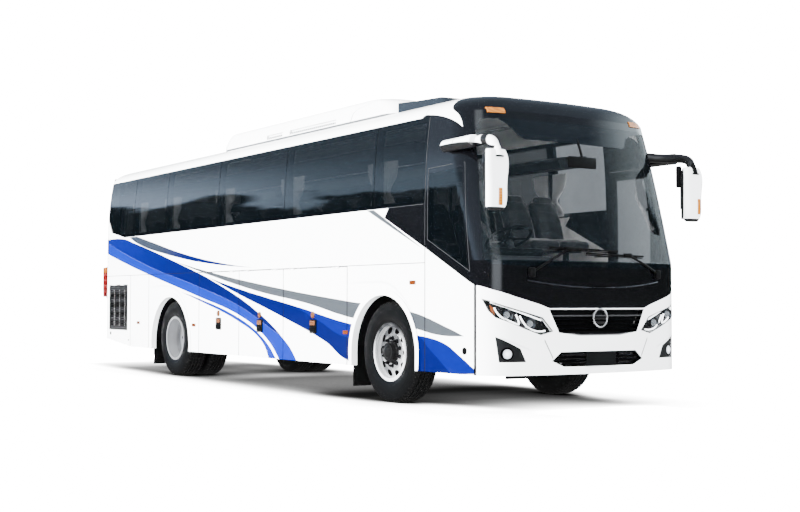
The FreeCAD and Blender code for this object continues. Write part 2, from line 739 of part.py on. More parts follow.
def hung_panel(panel, x0, x1, z_axis, side):
    for a, b in hinge_spans(x0, x1):
        for cut in hinge_notch(a, b, HALF_W + PIN_OUT, z_axis):
            panel = panel.cut(on_side(cut, side))
        panel = panel.fuse(on_side(hinge_leaf(a, b, HALF_W + PIN_OUT, z_axis, 12), side))
    return panel


def side_brackets(side):
    pieces = []
    spans = [(x0, x1, FLAP_AXIS_Z) for x0, x1 in zip(FLAP_XS[:-1], FLAP_XS[1:])]
    spans.append((SIDE_DOOR[0], SIDE_DOOR[1], SIDE_DOOR[3] + PIN_DROP))
    for x0, x1, z in spans:
        for a, b in hinge_spans(x0, x1):
            pieces += [on_side(lug, side) for lug in hinge_lugs(a, b, HALF_W + PIN_OUT, z, 12)]
    return pieces


def flap(x0, x1, side):
    panel = SHELL.common(side_box(x0 + GAP / 2, x1 - GAP / 2, 200, FLAP_TOP_Z, side))
    return hung_panel(panel, x0, x1, FLAP_AXIS_Z, side)


def radiator_slots(side):
    x0, x1, z0, z1 = SIDE_DOOR
    edge = 60
    bar = 26
    width = (x1 - x0 - 2 * edge + bar) / GRILLE_COLUMNS
    pitch = (z1 - z0 - 2 * edge) / GRILLE_ROWS
    slots = []
    for column in range(GRILLE_COLUMNS):
        x = x0 + edge + width * column
        for row in range(GRILLE_ROWS):
            z = z0 + edge + pitch * row
            slots.append(side_box(x, x + width - bar, z, z + 0.6 * pitch, side))
    return Part.makeCompound(slots)


def side_door(side):
    x0, x1, z0, z1 = SIDE_DOOR
    panel = SHELL.common(side_box(x0, x1, z0, z1, side))
    if side < 0:
        panel = panel.cut(radiator_slots(side))
    return hung_panel(panel, x0, x1, z1 + PIN_DROP, side)


LID_SPANS = [(-600, -480), (480, 600)]


def engine_lid():
    panel = SHELL.common(lid_cut(0))
    z = LID_Z1 + PIN_DROP
    for k in range(7):
        slot = LID_Z0 + 540 + 40 * k
        panel = panel.cut(box(-8300, -7900, -600, 600, slot - 9, slot + 9))
    for a, b in LID_SPANS:
        for cut in hinge_notch(a, b, -TAIL_X + PIN_OUT, z):
            panel = panel.cut(on_tail(cut))
        panel = panel.fuse(on_tail(hinge_leaf(a, b, -TAIL_X + PIN_OUT, z, 36)))
    return panel


def lid_brackets():
    pieces = []
    for a, b in LID_SPANS:
        pieces += [on_tail(lug) for lug in hinge_lugs(a, b, -TAIL_X + PIN_OUT, LID_Z1 + PIN_DROP, 36)]
    return pieces


DOOR_WINDOWS = [
    [(790, 640), (1370, 640), (1370, 1080), (790, 1080)],
    [(790, 1180), (1370, 1180), (1370, 1390), (1262, 2330), (790, 2330)],
]


def door_leaf():
    outline = [(DOOR_X0, DOOR_Z0), (DOOR_X1, DOOR_Z0), (DOOR_X1, WAIST_Z), (DOOR_TOP_X1, DOOR_Z1), (DOOR_X0, DOOR_Z1)]
    leaf = SHELL.common(side_prism(outline, 1))
    for points in DOOR_WINDOWS:
        leaf = leaf.cut(side_prism(points, 1))
    px, py = ARM_PIN
    for z in ARM_ZS:
        lug = box(px - 30, px + 30, py, HALF_W - WALL + 1, z - 20, z + 20)
        lug = lug.fuse(Part.makeCylinder(30, 40, V(px, py, z - 20), V(0, 0, 1)))
        leaf = leaf.fuse(lug.cut(Part.makeCylinder(10 + RUN_GAP, 400, V(px, py, z - 100), V(0, 0, 1))))
    return leaf


def door_glass():
    panes = []
    for points in DOOR_WINDOWS:
        panes += GLAZING.common(side_prism(points, 1)).Solids
    return Part.makeCompound(panes)


def door_arm():
    ax, ay = ARM_POST
    px, py = ARM_PIN
    post = Part.makeCylinder(POST_R, 2000 - STEP_FLOOR_Z - 1, V(ax, ay, STEP_FLOOR_Z + 1), V(0, 0, 1))
    pieces = [post]
    for z in ARM_ZS:
        bend = (ax - 100, ay - 85)
        level = z + 36
        pieces.append(rod((ax, ay, level), (bend[0], bend[1], level), 13))
        pieces.append(Part.makeSphere(13, V(bend[0], bend[1], level)))
        pieces.append(rod((bend[0], bend[1], level), (px, py, level), 13))
        pieces.append(Part.makeCylinder(10, 56, V(px, py, z - 20), V(0, 0, 1)))
    return fuse_all(pieces)


def door_post_brackets():
    # the foot stands on the step well's floor, the head is held by the front pillar
    ax, ay = ARM_POST
    bore = Part.makeCylinder(POST_R + RUN_GAP, 1700, V(ax, ay, STEP_FLOOR_Z), V(0, 0, 1))
    foot = box(ax - 40, ax + 40, ay - 40, ay + 40, STEP_FLOOR_Z, STEP_FLOOR_Z + 28).cut(bore)
    head = prism_xy([(ax - 40, 1100), (1520, 1100), (1520, 1185), (1402, 1185), (1402, 1158), (ax - 40, 1158)], 1972, 2000)
    return foot, head.cut(bore).common(UNDER_GLASS)


# cab and saloon

def seat(x, y0, y1, floor, height):
    base = [(x - 20, floor), (x + 60, floor), (x + 120, floor + 300), (x + 420, floor + 330), (x + 440, floor + 420),
            (x + 400, floor + 470), (x + 40, floor + 440), (x - 100, floor + height), (x - 190, floor + height - 20),
            (x - 120, floor + 420), (x - 20, floor + 330)]
    return prism_xz(base, y0, y1)


def passenger_seats():
    pieces = []
    for row in range(11):
        for y0, y1, x0 in ((-1105, -270, -620), (270, 1105, 120)):
            x = x0 - 730 * row
            if x > -7500:
                pieces.append(seat(x, y0, y1, DECK_Z, 960))
    return Part.makeCompound(pieces)


def driver_seat():
    return seat(820, -880, -400, CAB_FLOOR_Z, 1060)


def luggage_racks():
    rack = [(1300, 2530), (780, 2480), (740, 2560), (780, 2600), (1300, 2650)]
    shelf = prism_yz(rack, -7800, 400).common(INNER)
    return both_sides(shelf)


def curtains():
    racks = luggage_racks()
    pieces = []
    for side in (-1, 1):
        for x in WINDOW_XS:
            for off in (-150, 90):
                y0, y1 = sorted((side * (HALF_W - WALL - 75), side * (HALF_W - WALL - 45)))
                pieces.append(box(x + off, x + off + 60, y0, y1, BAND_Z0, 2540).cut(racks))
    return Part.makeCompound(pieces)


def dashboard():
    profile = [(1380, CAB_FLOOR_Z), (1790, CAB_FLOOR_Z), (1790, 1240), (1690, 1330), (1420, 1390), (1320, 1340),
               (1340, 1200)]
    body = prism_xz(profile, -1150, 1150)
    hump = prism_xz([(1320, 1330), (1600, 1340), (1500, 1460), (1370, 1475)], -1000, -300)
    body = body.fuse(hump).common(INNER)
    body = body.cut(box(1000, 1540, 330, 1300, 300, 1600))
    tilt = math.radians(WHEEL_TILT)
    axis = V(-math.sin(tilt), 0, math.cos(tilt))
    start = V(*WHEEL_HUB) - axis * 480
    return body.fuse(Part.makeCylinder(30, 449.5, start, axis))


WHEEL_HUB = (1265.0, -640.0, 1640.0)
WHEEL_TILT = 28.0
WHEEL_RIM_R = 225.0


def steering_wheel():
    rim_ring = Part.makeTorus(WHEEL_RIM_R, 15)
    hub = Part.makeCylinder(55, 60, V(0, 0, -30), V(0, 0, 1))
    parts = [hub]
    for k in range(3):
        a = math.radians(90 + 120 * k)
        tip = (WHEEL_RIM_R * math.cos(a), WHEEL_RIM_R * math.sin(a), 0)
        parts.append(rod((0, 0, -5), tip, 11))
    wheel = fuse_all([rim_ring] + parts)
    wheel.rotate(V(0, 0, 0), V(0, 1, 0), -WHEEL_TILT)
    return wheel.translated(V(*WHEEL_HUB))


def mirrors():
    right = mirror_head(1900, -1300).fuse(mirror_arm(1900, -1))
    left = mirror_head(1800, 1300).fuse(mirror_arm(1800, 1))
    return Part.makeCompound([right, left])


def mirror_head(x, y):
    wires = []
    for z, depth, half, r in MIRROR_LEVELS:
        wire = round_rect(x - depth / 2, x + depth / 2, half, z, r)
        wire.translate(V(0, y, 0))
        wires.append(wire)
    return Part.makeLoft(wires, True, False)


def mirror_arm(x, side):
    run = [((1150, side * 1130, 2500), (1, 0, 0), 44), ((1500, side * 1215, 2508), (1, side * 0.25, 0), 46),
           ((x - 170, side * 1285, 2500), (1, side * 0.2, -0.1), 46), ((x - 45, side * 1300, 2470), (0.8, 0, -0.7), 44),
           ((x, side * 1300, 2370), (0, 0, -1), 38)]
    wires = [Part.Wire(Part.makeCircle(r, V(*at), V(*way))) for at, way, r in run]
    return Part.makeLoft(wires, True, False).cut(OUTER)


def wipers():
    pieces = []
    skin = envelope(-WIPER_PROUD).cut(envelope(-2.0))
    for pivot_y, joint, blade in WIPERS:
        arm = wiper_strip((pivot_y, 1300), joint, 15)
        bar = wiper_strip(*blade, 11)
        spindle = rod((1700, pivot_y, 1300), (1830, pivot_y, 1300), 16)
        pieces.append(skin.common(arm.fuse(bar)).fuse(spindle.cut(OUTER)))
    return Part.makeCompound(pieces)


def wiper_strip(start, end, half):
    (y0, z0), (y1, z1) = start, end
    run = math.hypot(y1 - y0, z1 - z0)
    dy = half * (z1 - z0) / run
    dz = half * (y1 - y0) / run
    points = [(y0 - dy, z0 + dz), (y1 - dy, z1 + dz), (y1 + dy, z1 - dz), (y0 + dy, z0 - dz)]
    return prism_yz(points, 1600, 2000)


def side_lamps():
    spots = [(523, 1217), (-6577, 712), (-8000, 683), (-4635, 710), (-745, 700)]
    pieces = []
    for side in (-1, 1):
        for x, z in spots:
            if x < TAIL_SEAM_X:
                continue
            y0, y1 = sorted((side * HALF_W, side * (HALF_W + 9)))
            pieces.append(rounded_box(x - 50, x + 50, y0, y1, z - 20, z + 20, 8, V(0, 1, 0)))
        y0, y1 = sorted((side * 810, side * 990))
        pieces.append(LAMP_SKIN.common(box(1200, 1800, y0, y1, 2815, 2870)))
    return Part.makeCompound(pieces)


def number_plates():
    front = box(NOSE_X, NOSE_X + PLATE_T, -190, 190, 425, 555)
    rear = box(TAIL_X - PLATE_T, TAIL_X, -260, 260, 520, 632)
    return Part.makeCompound([front, rear])


def place(shape):
    return shape.translated(V(SHIFT_X, 0, 0))


def build():
    nodes = {}
    for name, side in (("right", -1), ("left", 1)):
        pieces = [body_side(side)] + side_brackets(side)
        nodes["body_side_" + name] = fuse_all(pieces)
        for tag, x0, x1 in zip(("rear", "mid", "front"), FLAP_XS[:-1], FLAP_XS[1:]):
            nodes["luggage_flap_" + tag + "_" + name] = flap(x0, x1, side)
        nodes["engine_side_door_" + name] = side_door(side)
        nodes["knuckle_" + name] = knuckle(side)
        nodes["tyre_front_" + name] = tyre(0, side * WHEEL_Y, 6)
        nodes["rim_front_" + name] = rim(0, side * WHEEL_Y, side, *FRONT_DISC, 62)
        twins = [tyre(REAR_AXLE_X, side * y, 4) for y in (WHEEL_Y, TWIN_Y)]
        nodes["tyres_rear_" + name] = Part.makeCompound(twins)
        edge, face = TWIN_DISC
        outer_rim = rim(REAR_AXLE_X, side * WHEEL_Y, side, -edge - DISC_T, -face - DISC_T, 95)
        inner_rim = rim(REAR_AXLE_X, side * TWIN_Y, side, edge, face, 0)
        nodes["rims_rear_" + name] = outer_rim.fuse(inner_rim)
    nodes["window_pillars"] = Part.makeCompound([window_pillars(-1), window_pillars(1)])
    nodes["side_glass"] = Part.makeCompound([side_glass(-1), side_glass(1)])
    nodes["front_bumper"] = front_bumper()
    nodes["front_mask"] = front_mask().fuse(door_post_brackets()[1])
    nodes["windshield"] = windshield()
    nodes["roof_shell"] = roof_shell()
    nodes["roof_unit"] = roof_unit()
    nodes["roof_fairing"] = roof_fairing()
    nodes["rear_panel"] = fuse_all([rear_panel()] + lid_brackets())
    nodes["rear_window"] = GLAZING.common(rear_window_cut())
    nodes["rear_bumper"] = rear_bumper()
    nodes["tail_lamps"] = tail_lamps()
    nodes["engine_lid"] = engine_lid()
    nodes["headlamps"] = headlamps()
    nodes["fog_lamps"] = fog_lamps()
    nodes["front_grille"] = front_grille()
    nodes["side_lamps"] = side_lamps()
    nodes["number_plates"] = number_plates()
    nodes["mirrors"] = mirrors()
    nodes["wipers"] = wipers()
    nodes["chassis_frame"] = CHASSIS
    nodes["towing_lugs"] = towing_lugs()
    nodes["floor_deck"] = floor_deck()
    nodes["luggage_bays"] = luggage_bays()
    nodes["arch_liners"] = arch_liners()
    nodes["front_axle"] = front_axle()
    nodes["rear_axle"] = rear_axle()
    nodes["air_springs"] = suspension()
    nodes["driveline"] = driveline()
    nodes["dashboard"] = dashboard()
    nodes["steering_wheel"] = steering_wheel()
    nodes["driver_seat"] = driver_seat()
    nodes["passenger_seats"] = passenger_seats()
    nodes["luggage_racks"] = luggage_racks()
    nodes["curtains"] = curtains()
    nodes["door_leaf"] = door_leaf()
    nodes["door_glass"] = door_glass()
    nodes["door_arm"] = door_arm()
    return nodes


os.makedirs("parts", exist_ok=True)
for node, shape in build().items():
    placed = place(shape)
    placed.exportStep("parts/" + node + ".step")
    print(node, len(placed.Solids), placed.isValid())
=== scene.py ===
"""Looks of a parked white tour coach with blue and grey side stripes.

Metres throughout, X forward, Y to the coach's left, Z up, tyres standing on z = 0.
"""

import math

import bmesh
import bpy
from mathutils import Matrix, Vector
from mathutils.bvhtree import BVHTree


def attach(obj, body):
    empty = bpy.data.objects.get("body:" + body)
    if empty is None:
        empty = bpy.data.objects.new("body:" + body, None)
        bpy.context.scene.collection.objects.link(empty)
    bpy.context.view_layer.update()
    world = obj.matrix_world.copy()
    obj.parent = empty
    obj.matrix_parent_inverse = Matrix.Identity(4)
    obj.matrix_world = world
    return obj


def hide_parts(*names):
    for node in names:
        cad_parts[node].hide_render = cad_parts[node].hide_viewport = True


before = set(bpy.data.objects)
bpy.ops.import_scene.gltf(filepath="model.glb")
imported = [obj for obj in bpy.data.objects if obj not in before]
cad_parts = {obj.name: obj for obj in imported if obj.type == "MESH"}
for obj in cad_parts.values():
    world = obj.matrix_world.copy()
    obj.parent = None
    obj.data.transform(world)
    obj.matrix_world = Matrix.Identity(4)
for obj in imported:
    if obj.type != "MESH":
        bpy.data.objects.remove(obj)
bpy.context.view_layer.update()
scene = bpy.context.scene

SIDES = ((-1, "right"), (1, "left"))
FLANK_Y = 1.2
FRONT_AXLE_X = 3.076
REAR_AXLE_X = -2.342
MID_AXLES_X = (FRONT_AXLE_X + REAR_AXLE_X) / 2
HALF_WHEELBASE = (FRONT_AXLE_X - REAR_AXLE_X) / 2
HUB_Z = 0.515
FACE_Y = {"front": 1.140, "rear": 0.891}

WHITE = (0.86, 0.87, 0.88)
PALE_WHITE = (0.89, 0.9, 0.905)
DARK_BLUE = (0.0, 0.005, 0.17)
MID_BLUE = (0.0, 0.012, 0.33)
LIGHT_BLUE = (0.0, 0.035, 0.68)
STRIPE_GREY = (0.135, 0.155, 0.18)
STEEL_GREY = (0.06, 0.08, 0.12)
SLOT_DARK = (0.0004, 0.0004, 0.0005)


# Node trees

class Wire:
    """One output of a node tree, which arithmetic turns into Math nodes."""

    def __init__(self, tree, socket):
        self.tree = tree
        self.socket = socket

    def math(self, operation, *values):
        return self.tree.node("ShaderNodeMath", {"operation": operation}, (self, *values))

    def __add__(self, other):
        return self.math("ADD", other)

    def __sub__(self, other):
        return self.math("SUBTRACT", other)

    def __mul__(self, other):
        return self.math("MULTIPLY", other)

    def __truediv__(self, other):
        return self.math("DIVIDE", other)

    def __radd__(self, other):
        return self.math("ADD", other)

    def __rmul__(self, other):
        return self.math("MULTIPLY", other)

    def __rsub__(self, other):
        return self.tree.node("ShaderNodeMath", {"operation": "SUBTRACT"}, (other, self))

    def __abs__(self):
        return self.math("ABSOLUTE")

    def __or__(self, other):
        return self.math("MAXIMUM", other)

    def wave(self, pitch):
        """A sine of this times the pitch, from 0 to 1."""
        return (self * pitch).math("SINE") * 0.5 + 0.5

    def above(self, edge, blur=0.0012):
        """1 where this is over the edge, 0 under it."""
        return self.tree.ramp(self - edge, -blur, blur)

    def below(self, edge, blur=0.0012):
        return 1.0 - self.above(edge, blur)

    def near(self, centre, half_width, blur=0.0012):
        """1 within half_width of the centre."""
        return abs(self - centre).below(half_width, blur)


def reach(a, b):
    """The length of the vector with these two parts."""
    return (a * a + b * b).math("SQRT")


class Tree:
    """A node tree and the few ways in which this script adds nodes to it."""

    def __init__(self, tree):
        self.nodes = tree.nodes
        self.links = tree.links

    def feed(self, socket, value):
        if isinstance(value, Wire):
            self.links.new(value.socket, socket)
        elif hasattr(socket.default_value, "__len__") and len(socket.default_value) == 4:
            socket.default_value = (*value, 1.0)[:4]
        else:
            socket.default_value = value

    def node(self, kind, settings=None, values=(), output=0):
        node = self.nodes.new(kind)
        for key, value in (settings or {}).items():
            setattr(node, key, value)
        pairs = values.items() if isinstance(values, dict) else enumerate(values)
        for key, value in pairs:
            self.feed(node.inputs[key], value)
        return Wire(self, node.outputs[output])

    def ramp(self, value, low, high, start=0.0, end=1.0):
        settings = {"interpolation_type": "SMOOTHSTEP"}
        return self.node("ShaderNodeMapRange", settings, (value, low, high, start, end))

    def mix(self, factor, first, second):
        """A colour between two colours."""
        values = {0: factor, 6: first, 7: second}
        return self.node("ShaderNodeMix", {"data_type": "RGBA"}, values, 2)

    def noise(self, scale, detail=2.0, place=None, stretch=None):
        place = place or self.node("ShaderNodeTexCoord", output="Object")
        if stretch:
            place = self.node("ShaderNodeVectorMath", {"operation": "MULTIPLY"}, (place, stretch))
        values = {"Vector": place, "Scale": scale, "Detail": detail}
        return self.node("ShaderNodeTexNoise", values=values)

    def split(self, vector):
        parts = self.nodes.new("ShaderNodeSeparateXYZ")
        self.feed(parts.inputs[0], vector)
        return [Wire(self, parts.outputs[i]) for i in range(3)]

    def place(self):
        """The x, y and z of the shaded point in the coach's frame."""
        return self.split(self.node("ShaderNodeTexCoord", output="Object"))

    def normal(self):
        return self.split(self.node("ShaderNodeNewGeometry", output="Normal"))

    def lerp(self, factor, first, second):
        return self.node("ShaderNodeMapRange", values=(factor, 0.0, 1.0, first, second))

    def curve(self, x, points, x_range=(-5.2, 5.0), tallest=3.4, bend="AUTO"):
        """The height z of a drawn line over x, through (x, z) points."""
        low, high = x_range
        node = self.nodes.new("ShaderNodeFloatCurve")
        line = node.mapping.curves[0]
        spots = [((px - low) / (high - low), pz / tallest) for px, pz in points]
        line.points[0].location = spots[0]
        line.points[1].location = spots[-1]
        for spot in spots[1:-1]:
            line.points.new(*spot)
        for point in line.points:
            point.handle_type = bend
        node.mapping.update()
        self.feed(node.inputs["Value"], (x - low) / (high - low))
        return Wire(self, node.outputs[0]) * tallest


class Finish(Tree):
    """A material, whose Principled shader takes named constants."""

    def __init__(self, name, color=None, **constants):
        self.material = bpy.data.materials.new(name)
        self.material.use_nodes = True
        super().__init__(self.material.node_tree)
        self.shader = self.nodes["Principled BSDF"]
        if color:
            self.set(Base_Color=color)
        self.set(**constants)

    def set(self, **values):
        for key, value in values.items():
            self.feed(self.shader.inputs[key.replace("_", " ")], value)
        return self

    def white(self, scale):
        """The coach's white with slow, faint changes."""
        return self.mix(self.noise(scale), WHITE, PALE_WHITE)

    def bump(self, height, distance, strength=1.0):
        values = {"Height": height, "Distance": distance, "Strength": strength}
        self.set(Normal=self.node("ShaderNodeBump", values=values))
        return self

    def mottle(self, dark, light, scale, rough=(0.4, 0.6), grain=None):
        """Uneven colour and roughness from one noise, with a finer grain as bump."""
        patches = self.noise(scale)
        self.set(Base_Color=self.mix(patches, dark, light))
        self.set(Roughness=self.ramp(patches, 0.25, 0.75, *rough))
        if grain:
            self.bump(self.noise(grain[0], 3.0), grain[1], 0.25)
        return self


# Paint with the stripes

DARK_TOP = [(-5.10, 1.96), (-4.16, 1.96), (-3.70, 1.88), (-2.25, 1.58), (-0.80, 1.24),
            (0.30, 0.89), (0.94, 0.59), (1.25, 0.355)]
DARK_FOOT = [(-4.90, 1.955), (-4.44, 1.83), (-3.10, 1.52), (-1.43, 1.22), (-0.22, 0.97),
             (0.58, 0.72), (0.94, 0.59), (1.25, 0.355)]
LIGHT_FOOT = [(-5.10, 1.83), (-4.60, 1.71), (-3.13, 1.405), (-1.43, 1.09), (-0.22, 0.855),
              (0.41, 0.64), (0.83, 0.35)]
THIN_TOP = [(-2.00, 1.152), (-1.43, 1.066), (-0.22, 0.82), (0.38, 0.61), (0.76, 0.35)]
THIN_FOOT = [(-2.00, 1.152), (-1.43, 1.04), (-0.22, 0.773), (0.34, 0.578), (0.57, 0.35)]
TOP_TOP = [(-3.60, 1.975), (-3.05, 1.873), (-1.81, 1.652), (-0.60, 1.50), (0.16, 1.438)]
TOP_FOOT = [(-3.90, 1.975), (-3.49, 1.85), (-2.43, 1.67), (-1.19, 1.524), (0.16, 1.438)]
GREY_TOP = [(-2.21, 1.574), (-1.15, 1.415), (0.91, 1.171), (2.34, 1.034), (3.56, 0.93),
            (4.16, 0.789), (4.44, 0.709)]
GREY_FOOT = [(-2.21, 1.574), (-1.39, 1.42), (0.30, 1.147), (1.46, 1.01), (2.48, 0.852),
             (3.62, 0.766), (4.05, 0.71), (4.44, 0.709)]
BLUE_TOP = [(-1.13, 1.338), (-0.23, 1.182), (1.31, 0.96), (2.44, 0.79), (3.65, 0.704),
            (4.09, 0.644), (4.36, 0.531), (4.62, 0.39)]
BLUE_FOOT = [(-1.13, 1.338), (-0.23, 1.114), (0.92, 0.844), (1.89, 0.592), (2.41, 0.398),
             (4.62, 0.37)]
SHADE_LINE = [(1.19, 0.974), (1.75, 0.814), (2.36, 0.646), (3.66, 0.698), (3.86, 0.586),
              (4.16, 0.398)]
WEDGE_TOP = [(2.96, 1.935), (3.80, 1.531)]
WEDGE_FOOT = [(2.96, 1.885), (3.30, 1.74), (3.80, 1.531)]
ARCHES = ((3.061, 0.500, 0.655), (-2.344, 0.444, 0.70))
SIDE_SEAMS = (-3.824, -3.124, -1.405, -0.2245, 0.926, 2.356, 3.806)
ARCH_CREASE_SHADE_LINES = (
    [(2.5, 1.214), (2.858, 1.217), (3.095, 1.21), (3.218, 1.18), (3.353, 1.112), (3.459, 1.038),
     (3.545, 0.96), (3.6, 0.9)],
    [(-2.95, 1.22), (-2.576, 1.227), (-2.355, 1.216), (-2.159, 1.172), (-1.993, 1.095), (-1.852, 0.98),
     (-1.781, 0.858)],
)
BELT_SEAM_Z = 1.407
STRIPE_TOP_Z = 1.975
FILM_METALLIC = 0.85
FRONT_JOINT_X = 4.593
FRONT_JOINT_HALF = 0.014
RADIATOR_X = -4.317
RADIATOR_Z = 0.93
RADIATOR_FIRST_ROW_Z = 0.595
RADIATOR_PITCH = 0.0305
RADIATOR_POSTS = (-4.425, -4.209)


def livery():
    """Gloss white paint with the drawn stripes on both long sides, and painted shade over the wheel arches
    and in the radiator's slots.
    """
    f = Finish("livery_paint", Roughness=0.3, Coat_Roughness=0.04)
    x, y, z = f.place()
    color = f.white(0.9)

    def between(top, foot):
        return z.below(f.curve(x, top)) * z.above(f.curve(x, foot))

    arch = 1.0
    for ax, az, radius in ARCHES:
        arch = reach(x - ax, z - az).above(radius) * arch
    flank = abs(y).above(FLANK_Y)
    side = flank * arch * z.below(STRIPE_TOP_Z)
    top_color = f.mix(f.ramp(x, -2.9, -1.7), STEEL_GREY, DARK_BLUE)
    tone = f.mix(z.above(f.curve(x, SHADE_LINE), 0.004), DARK_BLUE, MID_BLUE)
    dark = f.mix(f.ramp(x, -4.9, -1.5), MID_BLUE, DARK_BLUE)
    film = 0.0
    for top, foot, stripe in (
        (DARK_TOP, DARK_FOOT, dark),
        (DARK_FOOT, LIGHT_FOOT, LIGHT_BLUE),
        (THIN_TOP, THIN_FOOT, LIGHT_BLUE),
        (TOP_TOP, TOP_FOOT, top_color),
        (GREY_TOP, GREY_FOOT, STRIPE_GREY),
        (BLUE_TOP, BLUE_FOOT, tone),
        (WEDGE_TOP, WEDGE_FOOT, STRIPE_GREY),
    ):
        area = between(top, foot) * side
        color = f.mix(area, color, stripe)
        film = area | film
    seam = z.near(BELT_SEAM_Z, 0.004) * x.below(3.8)
    for at in SIDE_SEAMS:
        seam = seam | (x.near(at, 0.007) * z.below(1.41 if at < 3.8 else 1.7))
    color = f.mix(seam * flank, color, (0.02, 0.021, 0.023))
    joint = x.near(FRONT_JOINT_X, FRONT_JOINT_HALF) * z.below(1.75) * flank
    color = f.mix(joint, color, (0.003, 0.003, 0.004))
    # Painted shade: a soft grey band just above the crease over each wheel arch.
    for line in ARCH_CREASE_SHADE_LINES:
        level = f.curve(x, line)
        shade = z.near(level + 0.012, 0.004, 0.022) * x.above(line[0][0], 0.25) * x.below(line[-1][0], 0.05)
        color = f.mix(shade * flank * 0.55, color, (0.3, 0.31, 0.33))
    # Painted shade in the radiator's slots: faces that don't face outward, and the rows between the lighter
    # bars, take the near-black slot colour.
    radiator = x.near(RADIATOR_X, 0.372) * z.near(RADIATOR_Z, 0.335) * y.below(-FLANK_Y)
    turn = 2 * math.pi / RADIATOR_PITCH
    rows = ((z - RADIATOR_FIRST_ROW_Z) * turn).math("COSINE").above(0.55, 0.25)
    posts = abs(x - RADIATOR_X).above(0.3)
    for at in RADIATOR_POSTS:
        posts = posts | x.near(at, 0.02)
    lattice = f.mix(rows * (1.0 - posts * 0.85), SLOT_DARK, (0.03, 0.031, 0.033))
    outward = f.normal()[1].below(-0.7)
    color = f.mix(radiator, color, f.mix(outward, SLOT_DARK, lattice))
    dust = f.ramp(z, 0.7, 0.35) * f.ramp(f.noise(3.0, 5.0), 0.45, 0.8) * 0.1
    f.set(Base_Color=f.mix(dust, color, (0.4, 0.39, 0.37)), Metallic=film * FILM_METALLIC)
    f.set(Coat_Weight=f.lerp(film, 0.6, 0.2))
    f.set(Roughness=0.28 + dust * 0.5)
    return f.bump(f.noise(140.0, 1.0) - seam * 4.0, 0.0005, 0.25).material


CAP_EDGE = [(2.28, 4.426), (2.537, 4.386), (2.617, 4.346), (2.803, 4.256), (2.886, 4.15), (3.1, 4.15)]
SPIKE_EDGE = [(3.4, 2.3), (3.6, 2.6), (3.70, 2.86), (3.816, 2.853), (4.156, 2.772), (4.286, 2.707),
              (4.366, 2.63), (4.6, 2.3)]


def cap_paint():
    """White roof that meets the black front cap along a curved line, with a spike over the side glass."""
    f = Finish("cap_paint", Coat_Weight=0.7, Coat_Roughness=0.04)
    x, y, z = f.place()
    edge = f.curve(z, CAP_EDGE, (2.0, 3.3), 5.0) + ((1.0 - abs(y)) | 0.0) * 0.12
    spike = f.curve(x, SPIKE_EDGE)
    white = x.below(edge) * z.above(spike)
    seam = x.near(3.72, 0.0025) * z.above(2.8)
    color = f.mix(white, (0.0011, 0.0012, 0.0016), f.white(0.7))
    f.set(Base_Color=f.mix(seam, color, (0.05, 0.055, 0.06)))
    f.set(Roughness=f.lerp(white, 0.12, 0.28))
    return f.bump(f.noise(30.0, 1.0) * 0.1 - seam * 4.0, 0.0004, 0.1).material


CUT_LINE = [(0.5, 0.389), (0.564, 0.506), (0.656, 0.675), (0.75, 0.847)]
FOG_CREASE_SHADE_LINE = [(0.6, 0.50), (0.797, 0.582), (1.13, 0.712), (1.3, 0.78)]


def bumper_paint():
    """White front with the cut lines of its corners and painted shade along a soft crease beside each fog
    lamp.
    """
    f = Finish("bumper_paint", Roughness=0.28, Coat_Weight=0.6, Coat_Roughness=0.04)
    x, y, z = f.place()
    across = abs(y)
    cut = z.near(f.curve(across, CUT_LINE, (0.0, 1.3)), 0.012, 0.006) * across.near(0.61, 0.047)
    # Painted shade: a soft grey band along the crease beside each fog lamp.
    crease = z.near(f.curve(across, FOG_CREASE_SHADE_LINE, (0.0, 1.3)), 0.004, 0.016)
    crease = crease * across.near(0.95, 0.14, 0.04)
    color = f.white(0.9)
    color = f.mix(crease * 0.5, color, (0.25, 0.26, 0.28))
    joint = x.near(FRONT_JOINT_X, FRONT_JOINT_HALF) * across.above(FLANK_Y)
    cut = cut | joint
    f.set(Base_Color=f.mix(joint, f.mix(cut, color, (0.06, 0.062, 0.065)), (0.004, 0.004, 0.005)))
    return f.bump(f.noise(140.0, 1.0) - cut * 4.0, 0.0005, 0.25).material


UNIT_SEAM = [(3.0, 1.93), (3.05, 1.956), (3.157, 2.066), (3.185, 2.276), (3.26, 2.6)]


def unit_paint():
    """White roof unit with slotted vents, a dark line along its foot and a curved joint."""
    f = Finish("roof_unit_paint", Roughness=0.28, Coat_Weight=0.6, Coat_Roughness=0.04)
    x, y, z = f.place()
    out = abs(y).above(0.8)
    foot = z.below(3.03, 0.003) * out * x.below(3.3)
    vents = (x.near(0.141, 0.205) + x.near(1.071, 0.545)) * z.near(3.058, 0.017) * out
    slots = (x * 130.0).math("SINE").above(-0.2, 0.4) * 0.6 + 0.4
    joint = x.near(f.curve(z, UNIT_SEAM, (2.9, 3.4), 3.0), 0.006)
    color = f.white(0.8)
    color = f.mix(vents * slots, color, (0.02, 0.022, 0.025))
    f.set(Base_Color=f.mix(foot | joint, color, (0.05, 0.052, 0.056)))
    return f.bump(f.noise(140.0, 1.0) - joint * 3.0 - vents * slots * 4.0, 0.0008, 0.3).material


def navy_hatch():
    """Dark blue glazed hatch in front of the roof unit."""
    f = Finish("navy_hatch", Specular_IOR_Level=0.7, Coat_Weight=0.8, Coat_Roughness=0.05, Roughness=0.15)
    x, y, z = f.place()
    rim = abs(y).above(0.86) | x.above(3.74)
    glaze = f.mix(f.noise(2.0), (0.0025, 0.009, 0.03), (0.004, 0.013, 0.042))
    f.set(Base_Color=f.mix(rim, glaze, (0.0015, 0.002, 0.003)))
    return f.bump(rim, 0.001, 0.3).material


HEADER = [(-1.3, 2.80), (-0.9, 2.765), (-0.818, 2.727), (-0.696, 2.60), (-0.62, 2.575), (0.154, 2.566),
          (0.617, 2.565), (0.66, 2.59), (0.699, 2.671), (0.78, 2.71), (0.963, 2.746), (1.3, 2.78)]


